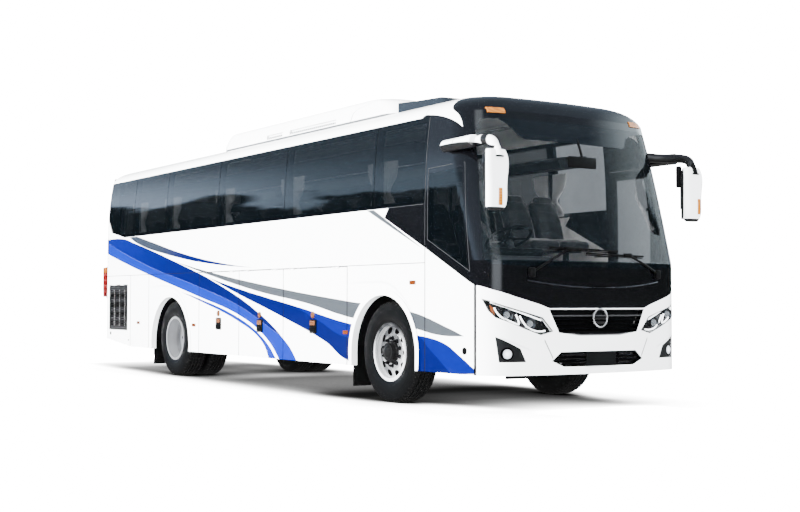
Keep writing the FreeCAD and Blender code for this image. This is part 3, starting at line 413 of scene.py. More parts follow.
def screen_finish():
    """Windscreen glass with a dark printed band along its head and a thin dark border."""
    f = Finish("windscreen", Specular_IOR_Level=0.9, IOR=1.5)
    x, y, z = f.place()
    band = z.above(f.curve(y, HEADER, (-1.3, 1.3), bend="VECTOR"), 0.004)
    foot = z.below(1.41, 0.01)
    dark = band | foot
    f.set(Base_Color=f.mix(dark, (0.003, 0.005, 0.006), (0.0012, 0.002, 0.0028)))
    f.set(Roughness=f.ramp(f.noise(3.0), 0.3, 0.7, 0.02, 0.04), Alpha=f.lerp(dark, 0.24, 0.9))
    return f.material


def amber_finish():
    """Amber lenses: orange side markers and yellower cap lamps, both with cut prisms."""
    f = Finish("amber_lens", Specular_IOR_Level=0.7, Coat_Weight=0.5, Roughness=0.18)
    x, y, z = f.place()
    prisms = ((x + y) * 300.0).math("SINE") * ((z - y) * 300.0).math("SINE") * 0.5 + 0.5
    front = x.above(4.1, 0.05)
    deep = f.mix(front, (0.04, 0.007, 0.0003), (0.14, 0.04, 0.003))
    pale = f.mix(front, (0.07, 0.014, 0.0006), (0.3, 0.11, 0.012))
    f.set(Base_Color=f.mix(prisms, deep, pale))
    return f.bump(prisms, 0.0008, 0.5).material


def plain_paint():
    """The same white without stripes, for the white parts that have no finish of their own, such as the
    ends.
    """
    f = Finish("white_paint_plain", Coat_Weight=0.6, Coat_Roughness=0.04)
    f.set(Base_Color=f.white(0.7))
    f.set(Roughness=f.ramp(f.noise(2.5), 0.3, 0.7, 0.24, 0.36))
    return f.bump(f.noise(140.0, 1.0), 0.0004, 0.25).material


def gloss_black():
    f = Finish("gloss_black_paint", Specular_IOR_Level=0.6, Coat_Weight=0.8)
    f.set(Base_Color=f.mix(f.noise(1.4), (0.0007, 0.0008, 0.001), (0.0014, 0.0015, 0.0018)))
    f.set(Roughness=f.ramp(f.noise(5.0), 0.3, 0.7, 0.05, 0.12))
    return f.bump(f.noise(12.0, 1.0), 0.0002, 0.03).material


def glass(name, color, alpha, rough=0.02, clear=None):
    """Glass as a thin film that hides by its alpha, clearer at the front of the left side if asked."""
    f = Finish(name, Specular_IOR_Level=0.9, IOR=1.5)
    f.set(Base_Color=f.mix(f.noise(0.8), color, [c * 1.15 for c in color]))
    f.set(Roughness=f.ramp(f.noise(3.0), 0.3, 0.7, rough, rough + 0.03))
    film = f.ramp(f.noise(1.1), 0.2, 0.8, alpha - 0.02, alpha + 0.02)
    if clear:
        x, y, z = f.place()
        film = f.lerp(x.above(2.9) * y.above(0.0), film, clear)
    f.set(Alpha=film)
    return f.material


def lens(name, color, alpha, glow=0.0):
    """A moulded lens with fine vertical flutes."""
    f = Finish(name, Specular_IOR_Level=0.7, Coat_Weight=0.5)
    x, y, z = f.place()
    flutes = (x + y).wave(420.0)
    f.set(Base_Color=f.mix(flutes, color, [min(1.0, c * 1.35 + 0.01) for c in color]))
    f.set(Roughness=f.ramp(flutes, 0.0, 1.0, 0.08, 0.2), Alpha=alpha)
    if glow:
        f.set(Emission_Color=color, Emission_Strength=glow)
    return f.bump(flutes, 0.0006, 0.5).material


def metal(name, color, rough, scale=6.0, spread=0.12, metallic=1.0):
    f = Finish(name, color, Metallic=metallic)
    worn = f.noise(scale, 4.0)
    f.set(Base_Color=f.mix(worn, [c * 0.85 for c in color], color))
    f.set(Roughness=f.ramp(worn, 0.25, 0.75, rough, rough + spread))
    return f.bump(f.noise(90.0, 2.0), 0.0002, 0.3).material


def from_hub(x, z):
    """How far a point of any wheel is from its axle's line."""
    return reach(abs(x - MID_AXLES_X) - HALF_WHEELBASE, z - HUB_Z)


def alloy():
    """Polished alloy with a painted reflection, brighter towards the front and the foot, with hub and nuts
    in black.
    """
    f = Finish("alloy_machined")
    x, y, z = f.place()
    high = z - HUB_Z
    radius = from_hub(x, z)
    face = f.lerp(x.below(0.5, 0.1), FACE_Y["front"], FACE_Y["rear"])
    proud = (abs(y) - face).above(0.002) * radius.below(0.165)
    towards = f.normal()[0]
    reflection_cloud = f.noise(7.0, 2.0)
    barrel = (abs(y) - face).above(0.03, 0.01) * radius.above(0.2, 0.02)
    # Painted reflection and shade: brighter where the face turns to the front and lower down, and the barrel
    # darker towards the top.
    lit = f.lerp(barrel, towards * 0.9 - high * 0.45 + reflection_cloud * 0.6, reflection_cloud * 0.8 - high * 1.6 + 0.1)
    bright = f.ramp(lit, 0.05, 0.65)
    rings = f.node("ShaderNodeTexNoise", {"noise_dimensions": "1D"}, {"W": radius, "Scale": 900.0})
    painted_reflection_tone = f.mix(bright, (0.16, 0.165, 0.175), (0.9, 0.91, 0.93))
    f.set(Base_Color=f.mix(proud, painted_reflection_tone, (0.0012, 0.0012, 0.0013)))
    f.set(Metallic=f.lerp(bright, 0.97, 0.6), Roughness=f.ramp(rings, 0.3, 0.7, 0.2, 0.34))
    return f.bump(rings, 0.0003, 0.35).material


def tyre_rubber():
    f = Finish("tyre_rubber", Specular_IOR_Level=0.35)
    dust = f.noise(9.0, 6.0)
    f.set(Base_Color=f.mix(dust, (0.0012, 0.0012, 0.0013), (0.0035, 0.0034, 0.0033)))
    f.set(Roughness=f.ramp(dust, 0.3, 0.7, 0.62, 0.85))
    return f.bump(f.noise(260.0, 3.0), 0.0005, 0.5).material


def moulded(name, dark, light, rough=(0.5, 0.7), shine=0.25):
    """Moulded plastic with a fine leather-like grain."""
    f = Finish(name, Specular_IOR_Level=shine)
    return f.mottle(dark, light, 4.0, rough, (380.0, 0.0004)).material


def woven(name, dark, light, threads=420.0, sheen=0.3):
    """Fabric whose warp and weft show as crossing sine ridges."""
    f = Finish(name, Sheen_Weight=sheen, Specular_IOR_Level=0.2)
    x, y, z = f.place()
    warp = ((x + y) * threads).math("SINE")
    weft = (z * threads).math("SINE")
    weave = warp * weft * 0.5 + 0.5
    f.set(Base_Color=f.mix(weave * 0.6 + f.noise(5.0) * 0.4, dark, light))
    f.set(Roughness=f.ramp(weave, 0.0, 1.0, 0.8, 0.95))
    return f.bump(weave, 0.0006, 0.5).material


SLOTS = {
    "white_paint": plain_paint(),
    "gloss_black": gloss_black(),
    "tinted_glass": glass("tinted_glass", (0.0006, 0.001, 0.0014), 0.66, clear=0.3),
    "screen_glass": glass("screen_glass", (0.003, 0.005, 0.006), 0.22),
    "red_lens": lens("red_lens", (0.12, 0.001, 0.0015), 0.97),
    "clear_lens": lens("clear_lens", (0.01, 0.011, 0.012), 0.1),
    "amber_lens": amber_finish(),
    "chrome": metal("chrome", (0.8, 0.81, 0.83), 0.06, metallic=0.85),
    "plate": moulded("plate_blank", (0.0008, 0.0008, 0.0009), (0.0016, 0.0016, 0.0017), (0.3, 0.45)),
    "black_plastic": moulded("black_plastic", (0.0005, 0.0005, 0.0006), (0.0012, 0.0012, 0.0013)),
    "dash_plastic": moulded("dash_plastic", (0.016, 0.019, 0.022), (0.026, 0.03, 0.034)),
    "chassis_steel": moulded("chassis_paint", (0.001, 0.001, 0.0011), (0.0025, 0.0024, 0.0023)),
    "floor": moulded("floor_vinyl", (0.008, 0.0085, 0.01), (0.014, 0.015, 0.017)),
    "rubber": moulded("rubber", (0.0012, 0.0012, 0.0013), (0.0024, 0.0024, 0.0025), (0.7, 0.85)),
    "tyre": tyre_rubber(),
    "cast": metal("cast_iron", (0.02, 0.02, 0.021), 0.55),
    "alloy": alloy(),
    "wheel_steel": metal("wheel_steel", (0.5, 0.51, 0.53), 0.32, metallic=0.85),
    "seat_fabric": woven("seat_fabric", (0.003, 0.0035, 0.005), (0.008, 0.009, 0.012)),
    "curtain_fabric": woven("curtain_fabric", (0.4, 0.41, 0.42), (0.5, 0.51, 0.52)),
}
STRIPED = ("body_side", "luggage_flap", "engine_side_door")
LIVERY = livery()
CAP_PAINT = cap_paint()
OWN = {
    "front_mask": CAP_PAINT,
    "roof_shell": CAP_PAINT,
    "front_bumper": bumper_paint(),
    "roof_unit": unit_paint(),
    "roof_fairing": navy_hatch(),
    "windshield": screen_finish(),
    "door_glass": glass("door_glass", (0.0008, 0.0013, 0.0018), 0.4),
}

for name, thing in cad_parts.items():
    striped = name.startswith(STRIPED)
    for slot in thing.material_slots:
        slot.material = LIVERY if striped else OWN.get(name) or SLOTS[slot.material.name]


# Shapes

def data_of(mesh, name):
    """The mesh data of a bmesh, which is freed."""
    data = bpy.data.meshes.new(name)
    mesh.to_mesh(data)
    mesh.free()
    return data


def mesh_of(data):
    """The bmesh of mesh data, which is removed."""
    mesh = bmesh.new()
    mesh.from_mesh(data)
    bpy.data.meshes.remove(data)
    return mesh


def settle(name, mesh, material, body="coach_body", slot=None, sharp=35.0):
    """Turns a bmesh into a piece that rides on a body. A slot's name stands for its own finish."""
    if isinstance(material, str):
        material, slot = SLOTS[material], material
    bmesh.ops.recalc_face_normals(mesh, faces=mesh.faces)
    data = data_of(mesh, name)
    data.materials.append(material)
    data.shade_smooth()
    data.set_sharp_from_angle(angle=math.radians(sharp))
    thing = bpy.data.objects.new(name, data)
    scene.collection.objects.link(thing)
    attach(thing, body)
    return thing


def joined(*parts):
    """One bmesh out of several."""
    whole = bmesh.new()
    for part in parts:
        data = data_of(part, "part")
        whole.from_mesh(data)
        bpy.data.meshes.remove(data)
    return whole


def moved(mesh, offset=(0, 0, 0), turn=None):
    if turn:
        bmesh.ops.rotate(mesh, verts=mesh.verts, cent=(0, 0, 0), matrix=turn)
    bmesh.ops.translate(mesh, verts=mesh.verts, vec=offset)
    return mesh


def block(size, bevel, segments=3):
    """A box round the origin with rounded edges."""
    mesh = bmesh.new()
    bmesh.ops.create_cube(mesh, size=1.0)
    bmesh.ops.scale(mesh, verts=mesh.verts, vec=size)
    settings = {"affect": "EDGES", "offset": bevel, "segments": segments, "profile": 0.5}
    bmesh.ops.bevel(mesh, geom=mesh.edges[:], **settings)
    return mesh


def box(size, bevel, at):
    """A box with rounded edges round a point."""
    return moved(block(size, bevel), at)


def facing(side):
    """The turn by which a shape that points along +Y points out of one side."""
    return None if side > 0 else Matrix.Rotation(math.pi, 3, "Z")


def tube(points, radius, cyclic=False, smooth=True):
    """A round bar along the points, but for those that missed the skin."""
    points = [at for at in points if at]
    curve = bpy.data.curves.new("bar", "CURVE")
    curve.dimensions = "3D"
    curve.bevel_depth = radius
    curve.bevel_resolution = 3
    curve.use_fill_caps = True
    line = curve.splines.new("NURBS" if smooth else "POLY")
    line.points.add(len(points) - 1)
    for spot, at in zip(line.points, points):
        spot.co = (*at, 1.0)
    line.order_u = 3
    line.use_endpoint_u = not cyclic
    line.use_cyclic_u = cyclic
    line.resolution_u = 6
    holder = bpy.data.objects.new("bar", curve)
    mesh = mesh_of(bpy.data.meshes.new_from_object(holder))
    bpy.data.objects.remove(holder)
    bpy.data.curves.remove(curve)
    return mesh


def lathe(profile, segments=48, axis="Y"):
    """Turns a profile of (radius, along) points about an axis through the origin."""
    mesh = bmesh.new()
    rings = []
    for k in range(segments):
        a = 2 * math.pi * k / segments
        ring = []
        for radius, along in profile:
            u, v = radius * math.cos(a), radius * math.sin(a)
            ring.append(mesh.verts.new((u, along, v) if axis == "Y" else (along, u, v)))
        rings.append(ring)
    for k in range(segments):
        a, b = rings[k], rings[(k + 1) % segments]
        for i in range(len(profile) - 1):
            mesh.faces.new((a[i], a[i + 1], b[i + 1], b[i]))
    bmesh.ops.remove_doubles(mesh, verts=mesh.verts, dist=1e-6)
    return mesh


AWAY = 8.0


class Skin:
    """The outside of some CAD nodes, on to which drawn points are cast."""

    def __init__(self, *nodes):
        verts, faces = [], []
        for node in nodes:
            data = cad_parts[node].data
            first = len(verts)
            verts += [v.co.copy() for v in data.vertices]
            faces += [[first + i for i in f.vertices] for f in data.polygons]
        self.tree = BVHTree.FromPolygons(verts, faces)

    def hit(self, start, way, out):
        place, normal = self.tree.ray_cast(Vector(start), Vector(way))[:2]
        if place is None:
            return None
        if normal.dot(Vector(way)) > 0:
            normal = -normal
        return place + normal * out

    def front(self, y, z, out=0.0):
        return self.hit((AWAY, y, z), (-1, 0, 0), out)

    def right(self, x, z, out=0.0):
        return self.hit((x, -AWAY, z), (0, 1, 0), out)

    def left(self, x, z, out=0.0):
        return self.hit((x, AWAY, z), (0, -1, 0), out)

    def rear(self, y, z, out=0.0):
        return self.hit((-AWAY, y, z), (1, 0, 0), out)

    def flank(self, side):
        return self.left if side > 0 else self.right


def thicken(mesh, shift):
    """Closes a sheet into a slab."""
    grown = bmesh.ops.extrude_face_region(mesh, geom=mesh.faces[:])
    verts = [g for g in grown["geom"] if isinstance(g, bmesh.types.BMVert)]
    bmesh.ops.translate(mesh, verts=verts, vec=shift)
    return mesh


def plate(outline, cast, out, thick, step=0.05):
    """A sheet with a drawn outline, laid on the skin and given a thickness."""
    mesh = bmesh.new()
    mesh.faces.new([mesh.verts.new((a, b, 0.0)) for a, b in outline])
    bmesh.ops.triangulate(mesh, faces=mesh.faces)
    for _ in range(6):
        long = [e for e in mesh.edges if e.calc_length() > step]
        if not long:
            break
        bmesh.ops.subdivide_edges(mesh, edges=long, cuts=1)
        bmesh.ops.triangulate(mesh, faces=[f for f in mesh.faces if len(f.verts) > 3])
    drawn = {v: tuple(v.co) for v in mesh.verts}
    for v, (a, b, _) in drawn.items():
        place = cast(a, b, out)
        if place is None:
            near = min(drawn.values(), key=lambda o: math.dist(o, (a, b, 0)) + (cast(*o[:2]) is None))
            place = cast(*near[:2], out) or Vector((0, a, b))
        v.co = place
    back = cast(*outline[0], out - thick)
    front = cast(*outline[0], out)
    return thicken(mesh, (back - front) if back and front else Vector((-thick, 0, 0)))


def mirrored(outline):
    return [(-y, z) for y, z in outline][::-1]


def repeat(source, spots, turn=(0.0, 0.0, 0.0)):
    """Copies of one bmesh on each spot, each turned by one more step, by Geometry Nodes."""
    tree = bpy.data.node_groups.new("repeat", "GeometryNodeTree")
    face = tree.interface
    face.new_socket("Geometry", in_out="INPUT", socket_type="NodeSocketGeometry")
    what = face.new_socket("Source", in_out="INPUT", socket_type="NodeSocketObject")
    step = face.new_socket("Turn", in_out="INPUT", socket_type="NodeSocketVector")
    face.new_socket("Geometry", in_out="OUTPUT", socket_type="NodeSocketGeometry")
    t = Tree(tree)
    inputs = t.nodes.new("NodeGroupInput").outputs
    given = {name: Wire(t, inputs[name]) for name in ("Geometry", "Source", "Turn")}
    one = t.node("GeometryNodeObjectInfo", values={"Object": given["Source"]}, output="Geometry")
    scaled = {0: given["Turn"], "Scale": t.node("GeometryNodeInputIndex")}
    angle = t.node("ShaderNodeVectorMath", {"operation": "SCALE"}, scaled)
    placing = {"Points": given["Geometry"], "Instance": one, "Rotation": angle}
    placed = t.node("GeometryNodeInstanceOnPoints", values=placing)
    real = t.node("GeometryNodeRealizeInstances", values=(placed,))
    t.feed(t.nodes.new("NodeGroupOutput").inputs[0], real)

    template = bpy.data.objects.new("source", data_of(source, "source"))
    points = bpy.data.meshes.new("points")
    points.from_pydata([tuple(spot) for spot in spots], [], [])
    holder = bpy.data.objects.new("points", points)
    scene.collection.objects.link(template)
    scene.collection.objects.link(holder)
    modifier = holder.modifiers.new("repeat", "NODES")
    modifier.node_group = tree
    modifier[what.identifier] = template
    modifier[step.identifier] = turn
    graph = bpy.context.evaluated_depsgraph_get()
    mesh = mesh_of(bpy.data.meshes.new_from_object(holder.evaluated_get(graph)))
    bpy.data.objects.remove(holder)
    bpy.data.objects.remove(template)
    return mesh


# Lamps and grille

HEADLAMP = [(-1.212, 1.050), (-1.178, 0.950), (-1.131, 0.888), (-0.877, 0.790), (-0.697, 0.727),
            (-0.565, 0.757), (-0.678, 0.881), (-1.061, 0.988)]
LED_LINES = [
    [(-1.167, 1.026), (-0.966, 0.956), (-0.688, 0.860)],
    [(-1.142, 0.977), (-1.114, 0.899), (-1.00, 0.848), (-0.89, 0.802), (-0.95, 0.912)],
    [(-0.912, 0.90), (-0.854, 0.794), (-0.714, 0.748), (-0.642, 0.762)],
]
AMBER = [(-1.172, 1.0), (-1.163, 0.943), (-1.136, 0.905), (-1.148, 0.975)]
PROJECTORS = [(-1.037, 0.908), (-0.797, 0.827)]
FOG = (1.032, 0.552)


def glow(name, color, strength):
    f = Finish(name, Roughness=0.3, Emission_Strength=strength)
    x, y, z = f.place()
    ridges = (y + z).wave(700.0)
    f.set(Base_Color=f.mix(ridges, [c * 0.8 for c in color], color))
    f.set(Emission_Color=f.mix(ridges, [c * 0.85 for c in color], color))
    return f.material


LED = glow("led_white", (0.95, 0.98, 1.0), 3.5)
TURN_AMBER = glow("turn_amber", (0.11, 0.024, 0.002), 1.0)
HOUSING = moulded("lamp_housing", (0.0005, 0.0006, 0.0007), (0.0015, 0.0017, 0.002), (0.15, 0.3))
BOWL = metal("lamp_bowl", (0.16, 0.17, 0.18), 0.12)
lamp_skin = Skin("headlamps")


def add_headlamp(side, tag):
    cast = lamp_skin.front

    def draw(outline):
        return outline if side < 0 else mirrored(outline)

    def centred(outline, share):
        cy = sum(y for y, z in outline) / len(outline)
        cz = sum(z for y, z in outline) / len(outline)
        return [(cy + (y - cy) * share, cz + (z - cz) * share) for y, z in outline]

    back = plate(draw(centred(HEADLAMP, 0.96)), cast, -0.036, 0.006)
    settle("lamp_housing_" + tag, back, HOUSING)
    bars = []
    for line in LED_LINES:
        bars.append(tube([cast(y, z, -0.014) for y, z in draw(line)], 0.0075))
    settle("lamp_led_" + tag, joined(*bars), LED, slot="clear_lens")
    settle("lamp_turn_" + tag, plate(draw(AMBER), cast, -0.012, 0.01), TURN_AMBER, slot="amber_lens")
    bowls, balls = [], []
    for y, z in draw(PROJECTORS):
        at = cast(y, z, -0.03)
        bowl = [(0.016, -0.004), (0.034, 0.0), (0.05, 0.012), (0.056, 0.02), (0.052, 0.021), (0.044, 0.012)]
        ball = [(0.0, 0.026), (0.012, 0.025), (0.024, 0.019), (0.031, 0.009), (0.033, 0.0)]
        bowls.append(moved(lathe(bowl, axis="X"), at))
        balls.append(moved(lathe(ball, axis="X"), at))
    settle("lamp_bowls_" + tag, joined(*bowls), BOWL, slot="chrome")
    settle("lamp_lenses_" + tag, joined(*balls), PROJECTOR_GLASS, slot="clear_lens")
    border = [cast(y, z, -0.001) for y, z in draw(centred(HEADLAMP, 0.985))]
    settle("lamp_border_" + tag, tube(border, 0.006, cyclic=True, smooth=False), "gloss_black")


def projector_glass():
    # The glow, in pale bands, is a painted highlight on the projector lenses.
    f = Finish("projector_glass", Specular_IOR_Level=1.0, Coat_Weight=1.0, Emission_Strength=0.5)
    x, y, z = f.place()
    rings = (z + y).wave(260.0)
    f.set(Base_Color=f.mix(rings, (0.01, 0.012, 0.016), (0.06, 0.066, 0.075)))
    f.set(Emission_Color=f.mix(rings, (0.3, 0.36, 0.42), (0.8, 0.86, 0.9)), Roughness=0.05)
    return f.material


PROJECTOR_GLASS = projector_glass()
for side, tag in SIDES:
    add_headlamp(side, tag)


def fog_finish():
    """Black pocket with a bright round lamp in it."""
    f = Finish("fog_lamp", Specular_IOR_Level=0.6)
    x, y, z = f.place()
    radius = reach(abs(y) - FOG[0], z - FOG[1])
    lamp = radius.below(0.042, 0.004)
    ring = radius.near(0.052, 0.006, 0.002)
    f.set(Base_Color=f.mix(lamp, (0.001, 0.001, 0.0011), (0.3, 0.32, 0.35)))
    f.set(Roughness=0.35 - ring * 0.25, Metallic=ring)
    bulb = lamp * radius.below(0.02, 0.03)
    f.set(Emission_Color=f.mix(bulb, (0.0, 0.0, 0.0), (0.9, 0.95, 1.0)), Emission_Strength=4.0)
    return f.bump(f.noise(300.0) + lamp * ((z - FOG[1]) * 500.0).math("SINE"), 0.0006, 0.4).material


def grille_finish():
    """Chrome top bar and foot, a duller second bar, and black between and below."""
    f = Finish("grille", Metallic=0.9)
    x, y, z = f.place()
    top = z.above(0.953)
    second = z.near(0.905, 0.012)
    foot = z.near(0.722, 0.014)
    bright = (top + foot).math("MINIMUM", 1.0) + second * 0.35
    streak = f.noise(30.0, 2.0, stretch=(1.0, 0.05, 1.0))
    f.set(Base_Color=f.mix(bright * (0.85 + streak * 0.3), (0.0007, 0.0008, 0.0009), (0.42, 0.43, 0.45)))
    f.set(Roughness=0.3 - bright * 0.2)
    return f.bump(f.noise(200.0), 0.0002, 0.3).material


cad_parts["fog_lamps"].material_slots[0].material = fog_finish()
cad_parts["front_grille"].material_slots[0].material = grille_finish()

nose = Skin("front_grille", "front_bumper", "front_mask", "windshield", "headlamps", "fog_lamps")
GRILLE = [(-0.59, 0.955), (-0.485, 0.748), (-0.25, 0.718), (0.25, 0.718), (0.485, 0.748), (0.59, 0.955)]
MASK_CREASE = [(-1.2, 1.30), (-0.95, 1.243), (-0.6, 1.193), (-0.26, 1.165), (0.26, 1.165), (0.6, 1.193),
               (0.95, 1.243), (1.2, 1.30)]
# The bead under the windscreen is a lighter grey metal than the black mask: a painted highlight along the
# mask's crease.
CREASE_HIGHLIGHT_METAL = metal("crease_painted_highlight", (0.12, 0.125, 0.135), 0.25)
# A black plate behind the grille that stands for the shade in its openings.
settle("grille_backing", plate(GRILLE, nose.front, -0.045, 0.01), "black_plastic")
crease = tube([nose.front(y, z, -0.001) for y, z in MASK_CREASE], 0.008)
settle("mask_crease", crease, CREASE_HIGHLIGHT_METAL, slot="gloss_black")


def add_badge():
    """A blank round boss on the grille."""
    at = nose.front(0.0, 0.955, 0.0)
    spot = Vector((at.x - 0.006, 0.0, 0.878))
    ring = [(0.079, -0.004), (0.081, 0.009), (0.087, 0.012), (0.093, 0.009), (0.095, -0.004)]
    dish = [(0.0, 0.004), (0.05, 0.003), (0.078, 0.001), (0.082, -0.006)]
    settle("badge_ring", moved(lathe(ring, 72, "X"), spot), "chrome")
    settle("badge_dish", moved(lathe(dish, 72, "X"), spot), "gloss_black")


add_badge()


# Wipers

WIPERS = [(-0.80, (-0.368, 1.524), [(-0.59, 1.532), (-0.18, 1.52), (0.23, 1.508)]),
          (0.80, (0.363, 1.478), [(0.59, 1.468), (0.21, 1.475), (-0.17, 1.482)])]


def add_wiper(pivot_y, joint, blade, tag):
    foot = nose.front(pivot_y, 1.30, 0.02)
    elbow = nose.front(pivot_y * 0.86, 1.37, 0.028)
    tip = nose.front(*joint, 0.024)
    arm = tube([foot, elbow, tip], 0.011)
    knuckle = box((0.05, 0.06, 0.09), 0.014, foot)
    clip = box((0.03, 0.1, 0.03), 0.008, tip)
    beam = tube([nose.front(y, z, 0.022) for y, z in blade], 0.009)
    rubber = tube([nose.front(y, z - 0.012, 0.008) for y, z in blade], 0.0055)
    (first_y, first_z), last_y = blade[0], blade[2][0]
    springs = []
    for ends in ((0.12, 0.45), (0.55, 0.88)):
        spots = [nose.front(first_y + (last_y - first_y) * s, first_z - 0.02 * s, 0.02) for s in ends]
        springs.append(tube(spots, 0.006))
    return settle("wiper_" + tag, joined(arm, knuckle, clip, beam, rubber, *springs), "black_plastic")


for wiper, (_, tag) in zip(WIPERS, SIDES):
    blade = add_wiper(*wiper, tag)
    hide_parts("wipers")


# Wheels

WHEEL_Y = 1.045
TWIN_Y = 0.715


def tread_profile():
    """Half sections of the tyre: bead, wall, shoulder, and ribs with four grooves between."""
    wall = [(0.296, 0.122), (0.303, 0.128), (0.32, 0.134), (0.355, 0.142), (0.4, 0.1445), (0.41, 0.1452),
            (0.415, 0.1446), (0.45, 0.142), (0.475, 0.137), (0.49, 0.131), (0.502, 0.124), (0.508, 0.116)]
    ribs = [(0.5128, 0.108), (0.5132, 0.078), (0.5125, 0.074), (0.501, 0.072), (0.501, 0.064),
            (0.5138, 0.062), (0.5145, 0.03), (0.5138, 0.027), (0.502, 0.025),
            (0.502, 0.017), (0.5142, 0.015), (0.515, 0.0)]
    half = wall + ribs
    return half + [(r, -y) for r, y in half[-2::-1]]


def tyre_mesh():
    """A bus tyre: ribs cut by fine sipes and notched shoulders."""
    segments = 240
    profile = tread_profile()
    mesh = lathe(profile, segments)
    for v in mesh.verts:
        r = math.hypot(v.co.x, v.co.z)
        turn = math.atan2(v.co.z, v.co.x) / (2 * math.pi) * segments
        step = round(turn) % 4
        across = abs(v.co.y)
        cut = 0.0
        if r > 0.498 and across > 0.1 and step == 0:
            cut = 0.010
        elif r > 0.51 and step == 2:
            cut = 0.004
        if cut:
            v.co.x *= (r - cut) / r
            v.co.z *= (r - cut) / r
    return mesh


def sidewall_finish():
    f = Finish("tyre_wall", Specular_IOR_Level=0.4)
    x, y, z = f.place()
    radius = from_hub(x, z)
    dust = f.noise(7.0, 6.0)
    tread = radius.above(0.5, 0.006)
    f.set(Base_Color=f.mix(tread * dust, (0.0006, 0.0006, 0.0007), (0.0025, 0.0024, 0.0022)))
    f.set(Roughness=f.ramp(radius, 0.3, 0.5, 0.42, 0.8))
    rings = radius.near(0.335, 0.002)
    for at, half in ((0.345, 0.001), (0.43, 0.0015), (0.49, 0.002)):
        rings = rings + radius.near(at, half)
    return f.bump(rings + f.noise(250.0, 3.0) * 0.3, 0.0012, 0.7).material


def hub_mesh(front):
    """The dark hub in the middle of a wheel, facing +Y from the disc's plane."""
    flange = [(0.114, 0.0), (0.114, 0.016), (0.11, 0.02), (0.099, 0.022)]
    if front:
        drum = [(0.0945, 0.04), (0.0935, 0.058), (0.088, 0.064), (0.07, 0.0645), (0.064, 0.066),
                (0.058, 0.074), (0.045, 0.081), (0.0, 0.0845)]
    else:
        drum = [(0.0935, 0.09), (0.088, 0.0965), (0.07, 0.097), (0.064, 0.104), (0.04, 0.109), (0.0, 0.11)]
    return lathe(flange + drum, 64)


def nut_mesh():
    """A wheel nut on its flange, with the stud end through it, along +Y."""
    flange = lathe([(0.0, 0.0), (0.024, 0.0), (0.024, 0.003), (0.018, 0.006), (0.0, 0.006)], 20)
    nut = lathe([(0.0, 0.004), (0.0175, 0.004), (0.0175, 0.026), (0.015, 0.029), (0.0, 0.029)], 6)
    stud = lathe([(0.0, 0.02), (0.0105, 0.02), (0.0105, 0.044), (0.0085, 0.047), (0.0, 0.047)], 14)
    return joined(flange, nut, stud)


NUT_R = 0.14
NUTS = 10
TYRE_WALL = sidewall_finish()
NUT_STEEL = metal("nut_steel", (0.045, 0.045, 0.047), 0.22, 30.0)
HOLE_R = 0.226
HOLE_TILT = {"front": math.radians(21.6), "rear": math.radians(-49.2)}
HUB_BLACK = moulded("hub_black", (0.0012, 0.0012, 0.0013), (0.004, 0.004, 0.0041), (0.3, 0.45))
HOLE_SHADE = moulded("hole_painted_shade", (0.0002, 0.0002, 0.0002), (0.0005, 0.0005, 0.0005), (0.9, 0.95), 0.02)


def add_wheel(axle, x, side, hand):
    """A wheel of the front axle or a twin pair of the rear axle, whose nodes and body say so by a plural."""
    many = "" if axle == "front" else "s"
    tag = axle + "_" + hand
    body = "wheel%s_%s" % (many, tag)
    turn = facing(side)
    middle = (x, side * WHEEL_Y, HUB_Z)
    tyres = [moved(tyre_mesh(), middle)]
    if axle == "rear":
        tyres.append(moved(tyre_mesh(), (x, side * TWIN_Y, HUB_Z)))
    tread = settle("tread_" + tag, joined(*tyres), TYRE_WALL, body, "tyre", 28.0)
    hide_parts("tyre%s_%s" % (many, tag))
    face = (x, side * FACE_Y[axle], HUB_Z)
    settle("hub_cap_" + tag, moved(hub_mesh(axle == "front"), face, turn), HUB_BLACK, body, "cast")
    # A dark cone just behind the disc that stands for the shade inside the wheel behind the hand holes.
    cone = [(0.195, -0.022), (0.2, -0.018), (0.25, -0.068), (0.247, -0.074), (0.195, -0.022)]
    settle("brake_shade_" + tag, moved(lathe(cone, 64), face, turn), HUB_BLACK, body, "cast")
    ring = [(NUT_R * math.cos(a), 0.0, NUT_R * math.sin(a))
            for a in (2 * math.pi * (k + 0.5) / NUTS for k in range(NUTS))]
    nuts = repeat(nut_mesh(), ring)
    settle("wheel_nuts_" + tag, moved(nuts, face, turn), NUT_STEEL, body, "wheel_steel")
    rim = Skin("rim%s_%s" % (many, tag))
    mid = math.pi / NUTS
    spot = rim.flank(side)(x + HOLE_R * math.cos(mid), HUB_Z + HOLE_R * math.sin(mid))
    # Near-black cups in the hand holes: painted shade seen through the holes.
    cups = []
    for k in range(NUTS):
        a = 2 * math.pi * k / NUTS
        cup = lathe([(0.0, 0.001), (0.03, 0.0015), (0.034, 0.004), (0.037, 0.0035), (0.037, -0.004)], 28)
        tilt = Matrix.Rotation(HOLE_TILT[axle], 3, Vector((math.sin(a), 0.0, -math.cos(a))))
        at = (HOLE_R * math.cos(a), abs(spot.y) - FACE_Y[axle] + 0.001, HOLE_R * math.sin(a))
        cups.append(moved(cup, at, tilt))
    settle("hand_holes_" + tag, moved(joined(*cups), face, turn), HOLE_SHADE, body, "cast")


for axle, x in (("front", FRONT_AXLE_X), ("rear", REAR_AXLE_X)):
    for side, hand in SIDES:
        add_wheel(axle, x, side, hand)


# Mirrors

MIRRORS = ((4.976, -1.30), (4.876, 1.30))


